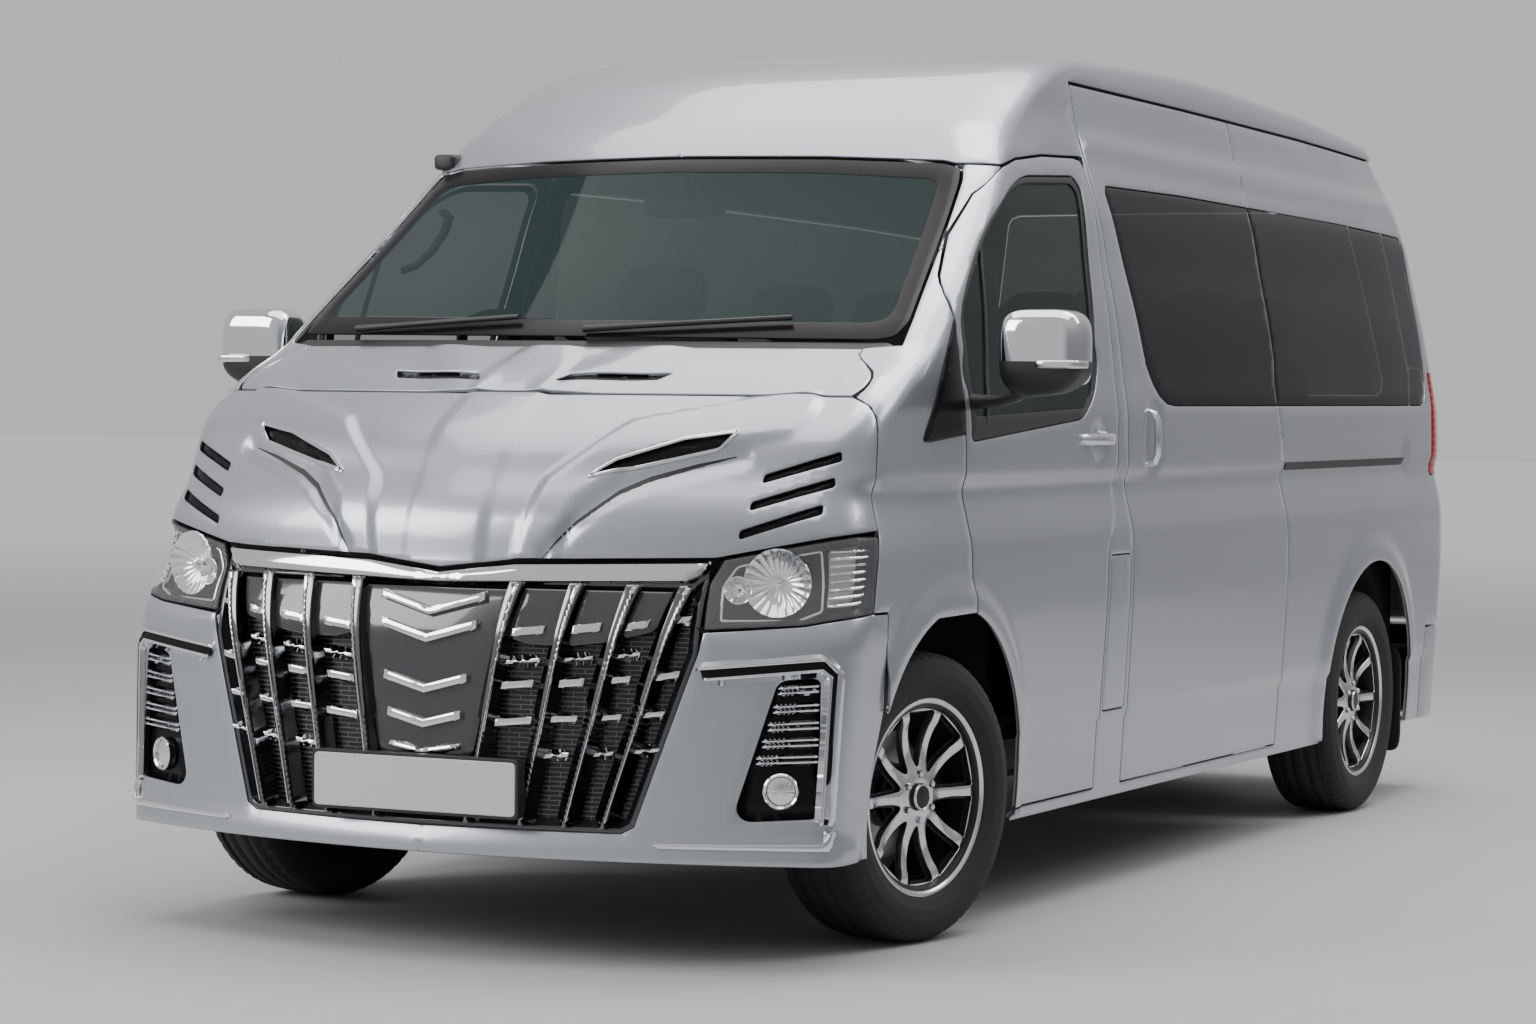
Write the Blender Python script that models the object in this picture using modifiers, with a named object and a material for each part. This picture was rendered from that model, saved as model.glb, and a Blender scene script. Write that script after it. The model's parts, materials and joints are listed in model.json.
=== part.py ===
# High-roof passenger van in metres: +X is its left side, -Y its front, +Z up.
# The origin is on the ground under the middle of the vehicle.
import bpy
import bmesh
import numpy as np
from math import atan2, cos, pi, radians, sin, tan
from mathutils import Matrix, Vector

# Wheels and axles
WHEELBASE = 3.247
FRONT_AXLE_Y = -1.61
TYRE_RADIUS = 0.340
WHEEL_TRACK = 1.600
STEER_ANGLE = radians(11.8)
KINGPIN_X = 0.735
ARCH_RADIUS = 0.438
HUB_GAP = 0.0003

# Body shell
HALF_WIDTH = 0.940
SILL_Z = 0.235
GUTTER_Z = 2.146
ROOF_CROWN = 0.042
FRONT_END_Y = -2.465
REAR_END_Y = 2.520
WALL = 0.062
DOOR_WALL = 0.050
PANEL = 0.025
LID_WALL = 0.012
GLASS = 0.006
SEAM = 0.0003
DOOR_GAP = 0.0055
RISE_GAP = 0.003
LID_GAP = 0.006
DOOR_TAPER = 0.17
SKIN_X = 0.930
FLANGE = 0.030
OUTSIDE = -0.030
TRIM_PROUD = 0.010

# Seams in the side view
DOOR_FRONT_Y = -1.490
DOOR_SILL_Z = 0.272
SLIDER_FRONT_Y = -0.432
SLIDER_REAR_Y = 0.800

# Seams in the front view
BONNET_REAR_Z = 1.384
SCREEN_BASE_Z = 1.409
LAMP_TOP_Z = 0.969
LAMP_BASE_Z = 0.789
COVER_TOP_Z = 1.272

# Inside
FLOOR_Z = 0.470
FLOOR_THICKNESS = 0.040
DECK_Z = 0.840
RAIL_X = 0.400
ENGINE_REAR_Y = -0.700

REAR_AXLE_Y = FRONT_AXLE_Y + WHEELBASE
AXLE_Z = TYRE_RADIUS
WHEEL_X = WHEEL_TRACK / 2

# How far the side stands in from the widest line, by height
SIDE_INSET = [
    (SILL_Z, 0.027), (0.495, 0.013), (0.652, 0.005), (0.776, 0.0), (0.912, 0.0025),
    (0.991, 0.018), (1.050, 0.030), (1.094, 0.019), (1.218, 0.021), (1.337, 0.037),
    (1.485, 0.058), (1.621, 0.085), (1.750, 0.109), (1.877, 0.147), (1.935, 0.167),
    (2.060, 0.196), (GUTTER_Z, 0.2155),
]
# How much each side draws in towards the nose, by height, and towards the tail
FRONT_TAPER = [(0.780, -0.012), (1.000, 0.006), (1.200, 0.022)]
REAR_TAPER = 0.012
# The middle of the nose, windscreen and roof front: height, then y
NOSE = [
    (SILL_Z, -2.430), (0.450, -2.420), (0.720, -2.405), (0.800, -2.385), (0.877, -2.353),
    (0.973, -2.336), (1.094, -2.265), (1.180, -2.205), (1.272, -2.058), (1.310, -1.990),
    (BONNET_REAR_Z, -1.840), (SCREEN_BASE_Z, -1.808), (1.865, -1.217), (1.950, -1.130),
    (2.030, -1.000), (2.080, -0.900), (2.120, -0.780), (GUTTER_Z, -0.660),
]
# How strongly the front bows in plan, by height
BOW = [(SILL_Z, 0.235), (1.094, 0.240), (1.310, 0.175), (1.400, 0.200), (1.865, 0.220),
       (2.050, 0.220), (GUTTER_Z, 0.260)]
# The corner between front and side: height, reach across, run along
CORNER = [(SILL_Z, 0.050, 0.080), (0.700, 0.055, 0.090), (0.860, 0.110, 0.180),
          (1.060, 0.110, 0.180), (1.272, 0.060, 0.140), (1.400, 0.065, 0.140),
          (1.865, 0.075, 0.150), (GUTTER_Z, 0.180, 0.260)]
# The rear face: height, then y
TAIL = [(SILL_Z, 2.470), (1.000, 2.480), (1.360, 2.450), (1.800, 2.375), (2.000, 2.325),
        (GUTTER_Z, 2.235)]
TAIL_BOW = 0.015
# The roof's arch along its length: y, then lift
ROOF_ARCH = [(-1.2, -0.045), (-0.850, -0.020), (-0.520, 0.006), (0.450, 0.025),
             (1.400, -0.010), (2.170, -0.064), (2.400, -0.080)]
LEVELS = [SILL_Z, 0.460, 0.620, 0.776, 0.910, 0.991, 1.050, 1.094, 1.218, 1.272, BONNET_REAR_Z,
          1.600, 1.865, 1.935, 2.060, GUTTER_Z]
INNER_LEVELS = [SILL_Z, 0.776, 1.050, 1.218, BONNET_REAR_Z, 1.600, 1.865, 2.060, GUTTER_Z]
ROOF_STEPS = [0.03, 0.10, 0.30, 0.65]
INNER_ROOF_STEPS = [0.08, 0.50]
SIDE_STATIONS = [0.14, 0.42, 0.75, 1.0]


def lookup(table, value, column=1):
    rows = np.array(table)
    return float(np.interp(value, rows[:, 0], rows[:, column]))


def half_width(z, y=0.0):
    front = max(0.0, (-1.25 - y) / 0.85)
    rear = max(0.0, (y - 1.6) / 0.8)
    return HALF_WIDTH - lookup(SIDE_INSET, z) - lookup(FRONT_TAPER, z) * front**2 - REAR_TAPER * rear**2


def nose_y(x, z):
    return lookup(NOSE, z) + lookup(BOW, z) * x * x


def bezier(p0, p1, p2, p3, count):
    t = np.linspace(0, 1, count + 1)[1:, None]
    p0, p1, p2, p3 = (np.array(p) for p in (p0, p1, p2, p3))
    return (1 - t) ** 3 * p0 + 3 * (1 - t) ** 2 * t * p1 + 3 * (1 - t) * t**2 * p2 + t**3 * p3


def plan_half(z, depth, front_count=4, corner_count=3, rear_count=2):
    """The left half of the plan outline at one height and depth under the skin, nose to tail."""
    reach, run = lookup(CORNER, z, 1), lookup(CORNER, z, 2)
    lean = (lookup(NOSE, z + 0.02) - lookup(NOSE, z - 0.02)) / 0.04
    back = depth * (1 + lean * lean) ** 0.5
    x0 = half_width(z, -2.1) - max(reach, depth + 0.012)
    points = [np.array([x, nose_y(x, z) + back]) for x in np.linspace(0, x0, front_count + 1)]
    y0 = nose_y(x0, z)
    y1 = max(y0 + run, y0 + back + 0.01)
    x1 = half_width(z, y1) - depth
    slope = 2 * lookup(BOW, z) * x0
    y0 += back
    reach, run = x1 - x0, y1 - y0
    points.extend(bezier((x0, y0), (x0 + 0.6 * reach, y0 + min(0.6 * reach * slope, 0.4 * run)),
                         (x1, y1 - 0.6 * run), (x1, y1), corner_count))
    tail = lookup(TAIL, z) - depth
    y2 = lookup(TAIL, z) - 0.11
    for f in SIDE_STATIONS:
        y = y1 + f * (y2 - y1)
        points.append(np.array([half_width(z, y) - depth, y]))
    x2 = points[-1][0]
    x3 = half_width(z, y2) - 0.11
    points.extend(bezier((x2, y2), (x2, y2 + 0.6 * (tail - y2)), (x3 + 0.6 * (x2 - x3), tail), (x3, tail),
                         rear_count))
    points.extend(np.array([x3 * f, tail + TAIL_BOW * (1 - f * f)]) for f in (0.5, 0.0))
    return np.array(points)


def skin_rings(depth, levels, roof_steps):
    """Rings of the skin at a depth, from the sill up over the roof."""
    rings = []
    for z in levels:
        half = plan_half(z, depth)
        ring = np.vstack([half, half[-2:0:-1] * (-1, 1)])
        drop = depth * np.clip((z - 1.95) / (GUTTER_Z - 1.95), 0, 1)
        rings.append(np.column_stack([ring, np.full(len(ring), z - drop)]))
    edge = rings[-1]
    middle = 0.8
    for s in roof_steps:
        ring = edge.copy()
        ring[:, 0] *= 1 - s
        ring[:, 1] = middle + (ring[:, 1] - middle) * (1 - 0.22 * s)
        ring[:, 2] += ROOF_CROWN * (1 - (1 - s) ** 2.4)
        rings.append(ring)
    for ring in rings:
        share = np.clip((ring[:, 2] - 1.86) / 0.25, 0, 1)
        ring[:, 2] += np.interp(ring[:, 1], *np.array(ROOF_ARCH).T) * share
    return rings


def skin_shell(name, start, end):
    """The body skin between two depths as a closed shell, open along the sill."""
    outer = skin_rings(start, LEVELS, ROOF_STEPS)
    coarse = end > 0.02
    inner = skin_rings(end, INNER_LEVELS if coarse else LEVELS, INNER_ROOF_STEPS if coarse else ROOF_STEPS)
    count = len(outer[0])
    verts = np.vstack(outer + inner)
    faces = []
    for start, levels in ((0, len(outer)), (len(outer) * count, len(inner))):
        for r in range(levels - 1):
            low, high = start + r * count, start + (r + 1) * count
            for i in range(count):
                a, b, c, d = low + i, low + (i + 1) % count, high + (i + 1) % count, high + i
                faces += [(a, b, c), (a, c, d)] if i < count // 2 else [(a, b, d), (b, c, d)]
        top = start + (levels - 1) * count
        for i in range(count // 2):
            corners = (top + i, top + i + 1, top + (count - i - 1) % count, top + (count - i) % count)
            faces.append(tuple(dict.fromkeys(corners)))
    inside = len(outer) * count
    faces += [(i, (i + 1) % count, inside + (i + 1) % count, inside + i) for i in range(count)]
    return mesh_from(name, verts, faces)


def clear_scene():
    for obj in list(bpy.data.objects):
        bpy.data.objects.remove(obj, do_unlink=True)


def material(name, colour, roughness, metallic=0.0):
    made = bpy.data.materials.new(name)
    made.use_nodes = True
    shader = made.node_tree.nodes["Principled BSDF"]
    shader.inputs["Base Color"].default_value = (*colour, 1.0)
    shader.inputs["Roughness"].default_value = roughness
    shader.inputs["Metallic"].default_value = metallic
    return made


def new_object(name, mesh, collection, mat=None):
    obj = bpy.data.objects.new(name, mesh)
    collection.objects.link(obj)
    if mat:
        mesh.materials.clear()
        mesh.materials.append(mat)
    return obj


def mesh_from(name, verts, faces):
    mesh = bpy.data.meshes.new(name)
    mesh.from_pydata([tuple(v) for v in verts], [], faces)
    bm = bmesh.new()
    bm.from_mesh(mesh)
    bmesh.ops.recalc_face_normals(bm, faces=bm.faces)
    bm.to_mesh(mesh)
    bm.free()
    return mesh


def bake(obj):
    """Replaces the object's mesh by its evaluated one."""
    graph = bpy.context.evaluated_depsgraph_get()
    mesh = bpy.data.meshes.new_from_object(obj.evaluated_get(graph))
    obj.modifiers.clear()
    obj.data = mesh
    return obj


def boolean(obj, other, operation, solver="EXACT"):
    mod = obj.modifiers.new(operation.title(), "BOOLEAN")
    mod.operation = operation
    mod.solver = solver
    mod.object = other
    return obj


def as_cutter(obj):
    for owner in obj.users_collection:
        owner.objects.unlink(obj)
    CUTTERS.objects.link(obj)
    obj.hide_render = True
    obj.display_type = "WIRE"
    return obj


def box(name, low, high, bevel=0.0, mat=None):
    bm = bmesh.new()
    bmesh.ops.create_cube(bm, size=1)
    size = np.array(high) - np.array(low)
    centre = (np.array(high) + np.array(low)) / 2
    bmesh.ops.scale(bm, vec=Vector(size), verts=bm.verts)
    bmesh.ops.translate(bm, vec=Vector(centre), verts=bm.verts)
    if bevel:
        bmesh.ops.bevel(bm, geom=bm.edges[:], offset=bevel, segments=1, affect="EDGES")
    mesh = bpy.data.meshes.new(name)
    bm.to_mesh(mesh)
    bm.free()
    return new_object(name, mesh, BODY, mat)


def rod(name, start, end, radius, sides=12, radius_end=None, mat=None):
    """A cylinder or cone from start to end."""
    start, end = Vector(start), Vector(end)
    along = end - start
    bm = bmesh.new()
    bmesh.ops.create_cone(bm, cap_ends=True, segments=sides, radius1=radius,
                          radius2=radius if radius_end is None else radius_end, depth=along.length)
    turn = Vector((0, 0, 1)).rotation_difference(along).to_matrix().to_4x4()
    bm.transform(Matrix.Translation((start + end) / 2) @ turn)
    mesh = bpy.data.meshes.new(name)
    bm.to_mesh(mesh)
    bm.free()
    return new_object(name, mesh, BODY, mat)


def grown(outline, by):
    """The outline with every edge moved outwards by a distance."""
    pts = np.array(outline, float)
    before = pts - np.roll(pts, 1, axis=0)
    after = np.roll(pts, -1, axis=0) - pts
    area = np.sum(pts[:, 0] * np.roll(pts[:, 1], -1) - pts[:, 1] * np.roll(pts[:, 0], -1))
    sign = 1.0 if area > 0 else -1.0
    normals = []
    for edge in (before, after):
        length = np.linalg.norm(edge, axis=1)[:, None]
        normals.append(sign * np.column_stack([edge[:, 1], -edge[:, 0]]) / length)
    total = normals[0] + normals[1]
    scale = 1 + np.sum(normals[0] * normals[1], axis=1)[:, None]
    return pts + by * total / np.maximum(scale, 0.35)


def prism(name, outline, axis, near, far, taper=0.0, pivot=0.0, grow=0.0):
    """A cutter along X or Y. Going in from the skin, the first outline coordinate closes on its pivot."""
    outer = grown(outline, grow) if grow else np.array(outline, float)
    inner = outer.copy()
    for pts, depth in ((outer, far), (inner, near)):
        pts[:, 0] = pivot + (pts[:, 0] - pivot) * (1 + taper * (depth - SKIN_X))
    count = len(outer)

    def place(p, depth):
        return (depth, p[0], p[1]) if axis == "X" else (p[0], depth, p[1])

    verts = [place(p, far) for p in outer] + [place(p, near) for p in inner]
    faces = [tuple(range(count)), tuple(range(2 * count - 1, count - 1, -1))]
    faces += [(i, (i + 1) % count, count + (i + 1) % count, count + i) for i in range(count)]
    return as_cutter(new_object(name, mesh_from(name, verts, faces), BODY))


def turned(name, profile, centre, steps, mat, spin=0.0):
    """A closed profile of (x, radius) points turned about an X axis through the centre."""
    mesh = bpy.data.meshes.new(name)
    count = len(profile)
    mesh.from_pydata([(x, 0, r) for x, r in profile], [(i, (i + 1) % count) for i in range(count)], [])
    obj = new_object(name, mesh, BODY, mat)
    screw = obj.modifiers.new("Turn", "SCREW")
    screw.axis = "X"
    screw.steps = screw.render_steps = steps
    screw.use_merge_vertices = True
    screw.merge_threshold = 1e-5
    bake(obj)
    bm = bmesh.new()
    bm.from_mesh(obj.data)
    bmesh.ops.remove_doubles(bm, verts=bm.verts, dist=1e-5)
    bmesh.ops.recalc_face_normals(bm, faces=bm.faces)
    bm.transform(Matrix.Translation(centre) @ Matrix.Rotation(spin, 4, "Z"))
    bm.to_mesh(obj.data)
    bm.free()
    return obj


def join(name, pieces, mat):
    """One solid from overlapping pieces."""
    first = pieces[0]
    for other in pieces[1:]:
        boolean(first, as_cutter(other), "UNION")
    bake(first)
    for other in pieces[1:]:
        bpy.data.objects.remove(other, do_unlink=True)
    first.name = name
    first.data.materials.clear()
    first.data.materials.append(mat)
    return first


def shell(name, thickness, inside, outside, mat):
    """A piece of the body skin: inside every cutter of one list and clear of those of the other."""
    obj = new_object(name, SKINS[thickness].copy(), BODY, mat)
    for cutter in inside:
        boolean(obj, cutter, "INTERSECT")
        bake(obj)
    for cutter in outside:
        boolean(obj, cutter, "DIFFERENCE")
        bake(obj)
    return obj


def mirrored(obj, name, mat=None):
    mesh = obj.data.copy()
    mesh.transform(Matrix.Diagonal((-1, 1, 1, 1)))
    mesh.flip_normals()
    return new_object(name, mesh, BODY, mat)


def both_sides(outline):
    """A front-view outline closed by its mirror image, from a half given from bottom to top."""
    left = [(-x, z) for x, z in reversed(outline) if x > 0]
    return [p for p in outline] + left


clear_scene()
BODY = bpy.data.collections.new("passenger_van")
CUTTERS = bpy.data.collections.new("cutters")
for collection in (BODY, CUTTERS):
    bpy.context.scene.collection.children.link(collection)

PAINT = material("silver_paint", (0.60, 0.61, 0.64), 0.28, 0.6)
CHROME = material("chrome", (0.85, 0.86, 0.88), 0.06, 1.0)
BLACK = material("black_trim", (0.02, 0.02, 0.022), 0.45)
GLASSY = material("tinted_glass", (0.03, 0.035, 0.035), 0.04)
CLEAR = material("lamp_glass", (0.75, 0.77, 0.8), 0.05)
RED = material("tail_glass", (0.35, 0.01, 0.01), 0.08)
RUBBER = material("tyre_rubber", (0.02, 0.02, 0.02), 0.8)
ALLOY = material("wheel_alloy", (0.55, 0.56, 0.58), 0.25, 0.9)
STEEL = material("chassis_steel", (0.05, 0.05, 0.055), 0.6, 0.3)
CLOTH = material("seat_cloth", (0.16, 0.16, 0.17), 0.9)
PLASTIC = material("grey_plastic", (0.24, 0.24, 0.25), 0.6)
IRON = material("cast_iron", (0.22, 0.21, 0.2), 0.6, 0.5)

SKINS = {end: skin_shell(f"skin_{end}", 0.0, end) for end in (WALL, DOOR_WALL, PANEL, LID_WALL, GLASS)}
POCKETS = {end: skin_shell(f"pocket_{end}", OUTSIDE, end + SEAM) for end in (DOOR_WALL, PANEL, LID_WALL)}
SKINS["post"] = skin_shell("skin_post", 0.0075, 0.045)
SKINS["trim"] = skin_shell("skin_trim", -TRIM_PROUD, 0.012)
SKINS["bar"] = skin_shell("skin_bar", -TRIM_PROUD, PANEL)

# Outlines in the side view, as (y, z)
FRONT_DOOR = [
    (DOOR_FRONT_Y, 0.300), (DOOR_FRONT_Y, 1.490), (-1.451, 1.560), (-1.330, 1.660), (-1.181, 1.765),
    (-1.018, 1.840), (-0.926, 1.862), (-0.736, 1.882), (-0.490, 1.890), (-0.462, 1.870),
    (-0.464, 1.770), (-0.480, 1.600), (-0.502, 1.270), (-0.511, 1.093), (-0.539, 0.990),
    (-0.592, 0.923), (-0.614, 0.860), (-0.628, 0.500), (-0.628, DOOR_SILL_Z), (-1.100, DOOR_SILL_Z),
    (-1.100, 0.300),
]
DOOR_WINDOW = [
    (-1.430, 1.225), (-1.430, 1.480), (-1.250, 1.640), (-1.040, 1.770), (-0.923, 1.805),
    (-0.580, 1.822), (-0.548, 1.800), (-0.610, 1.500), (-0.660, 1.290), (-0.720, 1.245),
]
SLIDER = [
    (SLIDER_FRONT_Y, DOOR_SILL_Z), (SLIDER_FRONT_Y, 2.120), (0.770, 2.110), (0.775, 1.500),
    (0.765, 1.250), (SLIDER_REAR_Y, 1.150), (SLIDER_REAR_Y + 0.012, 0.700),
    (SLIDER_REAR_Y, DOOR_SILL_Z),
]
WINDOW_BAND = [
    (-0.330, 1.827), (0.226, 1.828), (0.777, 1.820), (1.600, 1.808), (2.225, 1.790), (2.262, 1.765),
    (2.285, 1.360), (2.250, 1.270), (2.200, 1.250), (-0.090, 1.250), (-0.190, 1.275), (-0.262, 1.345),
    (-0.358, 1.800),
]
FUEL_LID = [(-0.592, 0.870), (-0.460, 0.868), (-0.466, 0.470), (-0.611, 0.474)]

# Outlines in the front view, as (x, z), the left half from bottom to top
NOSE_EDGE = [(0.0, 0.877), (0.190, 0.900), (0.645, 0.912), (0.935, 0.972), (0.905, 1.060),
             (0.878, 1.150), (0.864, COVER_TOP_Z), (0.846, BONNET_REAR_Z - 0.003), (0.0, BONNET_REAR_Z - 0.001)]
SCREEN = [(0.0, SCREEN_BASE_Z), (0.770, SCREEN_BASE_Z - 0.004), (0.812, SCREEN_BASE_Z + 0.004),
          (0.824, SCREEN_BASE_Z + 0.040), (0.752, 1.800), (0.738, 1.838), (0.690, 1.850),
          (0.400, 1.861), (0.0, 1.866)]
LAMP = [(0.640, 0.752), (0.636, 0.860), (0.662, 0.912), (0.935, 0.968), (0.960, LAMP_TOP_Z),
        (0.975, 0.860), (0.970, LAMP_BASE_Z), (0.850, 0.765)]
GRILLE = [(0.0, 0.300), (0.480, 0.303), (0.508, 0.318), (0.634, 0.700), (0.634, 0.904),
          (0.190, 0.892), (0.0, 0.869)]
CHROME_BAR = [(0.0, 0.8405), (0.590, 0.854), (0.620, 0.869), (0.634, 0.893), (0.634, 0.904),
              (0.190, 0.892), (0.0, 0.869)]

FAR = 1.30
DEEP = 0.30


def side_cut(name, outline, grow=0.0, taper=0.0, pivot=0.0, near=DEEP, far=FAR):
    return prism(name, outline, "X", near, far, taper, pivot, grow)


def front_cut(name, outline, grow=0.0, near=-1.0, far=-2.8):
    return prism(name, outline, "Y", near, far, grow=grow)


def both(first, second, operation):
    """One cutter from two."""
    bake(boolean(first, second, operation, "MANIFOLD" if operation == "UNION" else "EXACT"))
    bpy.data.objects.remove(second, do_unlink=True)
    return first


def on_skin(outline, taper, pivot):
    """The outline that gives this one on the curved skin after the taper."""
    return [(pivot + (y - pivot) / (1 - taper * (SKIN_X - half_width(z, y))), z) for y, z in outline]


def pocket(name, hole, lip, depth):
    """What a moving panel takes from its neighbours: its own thickness, and all inside its flange."""
    recess = new_object(name, POCKETS[depth].copy(), BODY)
    bake(boolean(recess, hole, "INTERSECT"))
    return both(as_cutter(recess), lip, "UNION")


def arch_cut(name, y, radius=ARCH_RADIUS):
    return as_cutter(rod(name, (DEEP, y, AXLE_Z), (FAR, y, AXLE_Z), radius, 40))


def region(name, low, high):
    return as_cutter(box(name, low, high))


FRONT_ARCH = arch_cut("front_arch", FRONT_AXLE_Y)
REAR_ARCH = arch_cut("rear_arch", REAR_AXLE_Y)
# The door narrows inwards so that its free edge swings clear
SWING = {"taper": DOOR_TAPER, "pivot": DOOR_FRONT_Y}
DOOR_LINE = on_skin(FRONT_DOOR, DOOR_TAPER, DOOR_FRONT_Y)
DOOR_HOLE = side_cut("door_hole", DOOR_LINE, DOOR_GAP / 2 + RISE_GAP, **SWING)
DOOR_BODY = side_cut("door_body", DOOR_LINE, -DOOR_GAP / 2, **SWING)
# The door keeps to the side of the windscreen pillar, and the pillar has no flange behind it
DOOR_SPAN = [(0.840, 0.100), (0.840, 1.200), (0.800, 1.480), (0.757, 1.700), (0.715, 1.900),
             (1.300, 1.950), (1.300, 0.100)]
DOOR_KEEP = front_cut("door_keep", DOOR_SPAN, near=2.8, far=-2.8)
DOOR_LIP = grown(DOOR_LINE, -FLANGE)
DOOR_LIP[1:6] = grown(DOOR_LINE, DOOR_GAP / 2 + RISE_GAP)[1:6]
DOOR_POCKET = pocket("door_pocket", DOOR_HOLE, side_cut("door_lip", DOOR_LIP, **SWING), DOOR_WALL)
DOOR_GLASS_HOLE = side_cut("door_glass_hole", DOOR_WINDOW)
DOOR_GLASS_BODY = side_cut("door_glass_body", DOOR_WINDOW, -SEAM)
SLIDER_HOLE = side_cut("slider_hole", SLIDER, SEAM)
SLIDER_BODY = side_cut("slider_body", SLIDER)
SLIDER_POCKET = pocket("slider_pocket", SLIDER_HOLE, side_cut("slider_lip", SLIDER, -FLANGE), DOOR_WALL)
BAND_HOLE = side_cut("band_hole", WINDOW_BAND)
BAND_GLASS = side_cut("band_glass", WINDOW_BAND, -SEAM)
LID_HOLE = side_cut("lid_hole", FUEL_LID, LID_GAP, near=0.80)
LID_POCKET = as_cutter(new_object("lid_pocket", POCKETS[LID_WALL].copy(), BODY))
bake(boolean(LID_POCKET, LID_HOLE, "INTERSECT"))
LID_BODY = side_cut("lid_body", FUEL_LID, near=0.80)
NOSE_SIDE = [(-2.8, 0.80), (-2.8, 1.45), (-1.700, 1.45), (-1.700, BONNET_REAR_Z), (-1.930, COVER_TOP_Z),
             (-1.990, 1.100), (-2.010, 0.970), (-2.010, 0.80)]
NOSE_HOLE = both(front_cut("nose_hole", both_sides(NOSE_EDGE), LID_GAP),
                 prism("nose_depth", NOSE_SIDE, "X", -FAR, FAR, grow=LID_GAP), "INTERSECT")
NOSE_LIP = both(front_cut("nose_lip", both_sides(NOSE_EDGE), -FLANGE),
                prism("nose_lip_depth", NOSE_SIDE, "X", -FAR, FAR, grow=-0.6 * FLANGE), "INTERSECT")
NOSE_POCKET = pocket("nose_pocket", NOSE_HOLE, NOSE_LIP, PANEL)
NOSE_BODY = both(front_cut("nose_body", both_sides(NOSE_EDGE)),
                 prism("nose_body_depth", NOSE_SIDE, "X", -FAR, FAR), "INTERSECT")


def rear_edge(z):
    """The skin's plan line at one height, ahead of which the bonnet stays, as a cutter."""
    half = plan_half(z, 0.0)
    half = half[half[:, 1] < -1.62]
    line = np.vstack([half[::-1] * (-1, 1), half[1:]])
    verts = [(x, y, level) for level in (0.5, 2.0) for x, y in [(-1.0, -2.8), *line, (1.0, -2.8)]]
    count = len(line) + 2
    faces = [tuple(range(count)), tuple(range(2 * count - 1, count - 1, -1))]
    faces += [(i, (i + 1) % count, count + (i + 1) % count, count + i) for i in range(count)]
    return as_cutter(new_object("rear_edge", mesh_from("rear_edge", verts, faces), BODY))


NOSE_BODY = both(NOSE_BODY, rear_edge(BONNET_REAR_Z - 0.001), "INTERSECT")


def recess(name, outlines, depth):
    """A shallow cutter under the skin for several outlines in the front view."""
    found = as_cutter(new_object(name, skin_shell(name, OUTSIDE, depth), BODY))
    lines = front_cut(name + "_line", outlines[0])
    for outline in outlines[1:]:
        lines = both(lines, front_cut(name + "_line", outline), "UNION")
    return both(found, lines, "INTERSECT")


# The bonnet's slots, the lamp slots of the nose and its gills, as (x, z), on the left side
BONNET_SLOT = [(0.101, 1.298), (0.350, 1.306), (0.372, 1.322), (0.125, 1.314)]
LAMP_SLOT = [(0.330, 1.086), (0.610, 1.160), (0.627, 1.181), (0.345, 1.104)]
GILLS = [[(0.712, 1.078), (0.862, 1.128), (0.858, 1.148), (0.712, 1.096)],
         [(0.702, 1.018), (0.860, 1.071), (0.856, 1.091), (0.702, 1.036)],
         [(0.691, 0.954), (0.852, 1.012), (0.848, 1.032), (0.691, 0.972)]]
SLOT_DEPTH = 0.008
COWL = [(-0.845, 1.3885), (0.845, 1.3885), (0.790, 1.4045), (-0.790, 1.4045)]
COWL_HOLE = front_cut("cowl_hole", COWL, SEAM)
SCREEN_HOLE = front_cut("screen_hole", both_sides(SCREEN))
SCREEN_BODY = front_cut("screen_body", both_sides(SCREEN), -SEAM)
# The lamp's rear edge on the side
LAMP_SIDE = [(-2.8, 0.60), (-2.120, 0.60), (-2.069, 0.790), (-1.993, 0.972), (-1.985, 1.05), (-2.8, 1.05)]
LAMP_HOLE = both(front_cut("lamp_hole", LAMP, SEAM, near=-1.9),
                 side_cut("lamp_side", LAMP_SIDE, SEAM), "INTERSECT")
LAMP_BODY = both(front_cut("lamp_body", LAMP, near=-1.9), side_cut("lamp_side_body", LAMP_SIDE), "INTERSECT")

# The seam that parts the front corners and the bumper from the sides and the roof
CORNER_SIDE = [(-2.8, 0.1), (-2.8, 1.3), (-1.9, 1.5), (-1.35, 1.868), (-1.0, 1.868),
               (-1.018, 1.840), (-1.181, 1.765), (-1.330, 1.660), (-1.451, 1.560),
               (DOOR_FRONT_Y + 0.040, 1.520), (DOOR_FRONT_Y + 0.040, 0.1)]
CORNER_REGION = side_cut("corner_region", CORNER_SIDE, near=0.67)
BEHIND_TAIL = [(1.6, 0.1), (1.6, 2.4), (2.7, 2.4), (2.7, 0.1)]

# The roof lies over this line in the side view, and in front of it over the windscreen
ROOF_SIDE = [(-1.000, 2.085), (-0.480, 2.118), (0.450, 2.136), (1.400, 2.103), (2.170, 2.045),
             (2.700, 2.020), (2.700, 2.600), (-1.000, 2.600)]
ROOF_FRONT = [(0.0, 1.790), (0.652, 1.790), (0.715, 1.875), (0.670, 2.130), (0.0, 2.500)]


def roof_cut(name, grow):
    over = prism(name, ROOF_SIDE, "X", -FAR, FAR, grow=grow)
    return both(over, front_cut(name + "_front", both_sides(ROOF_FRONT), grow, near=-0.70), "UNION")


ROOF_HOLE = roof_cut("roof_hole", SEAM)
ROOF_BODY = roof_cut("roof_body", 0.0)

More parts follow.
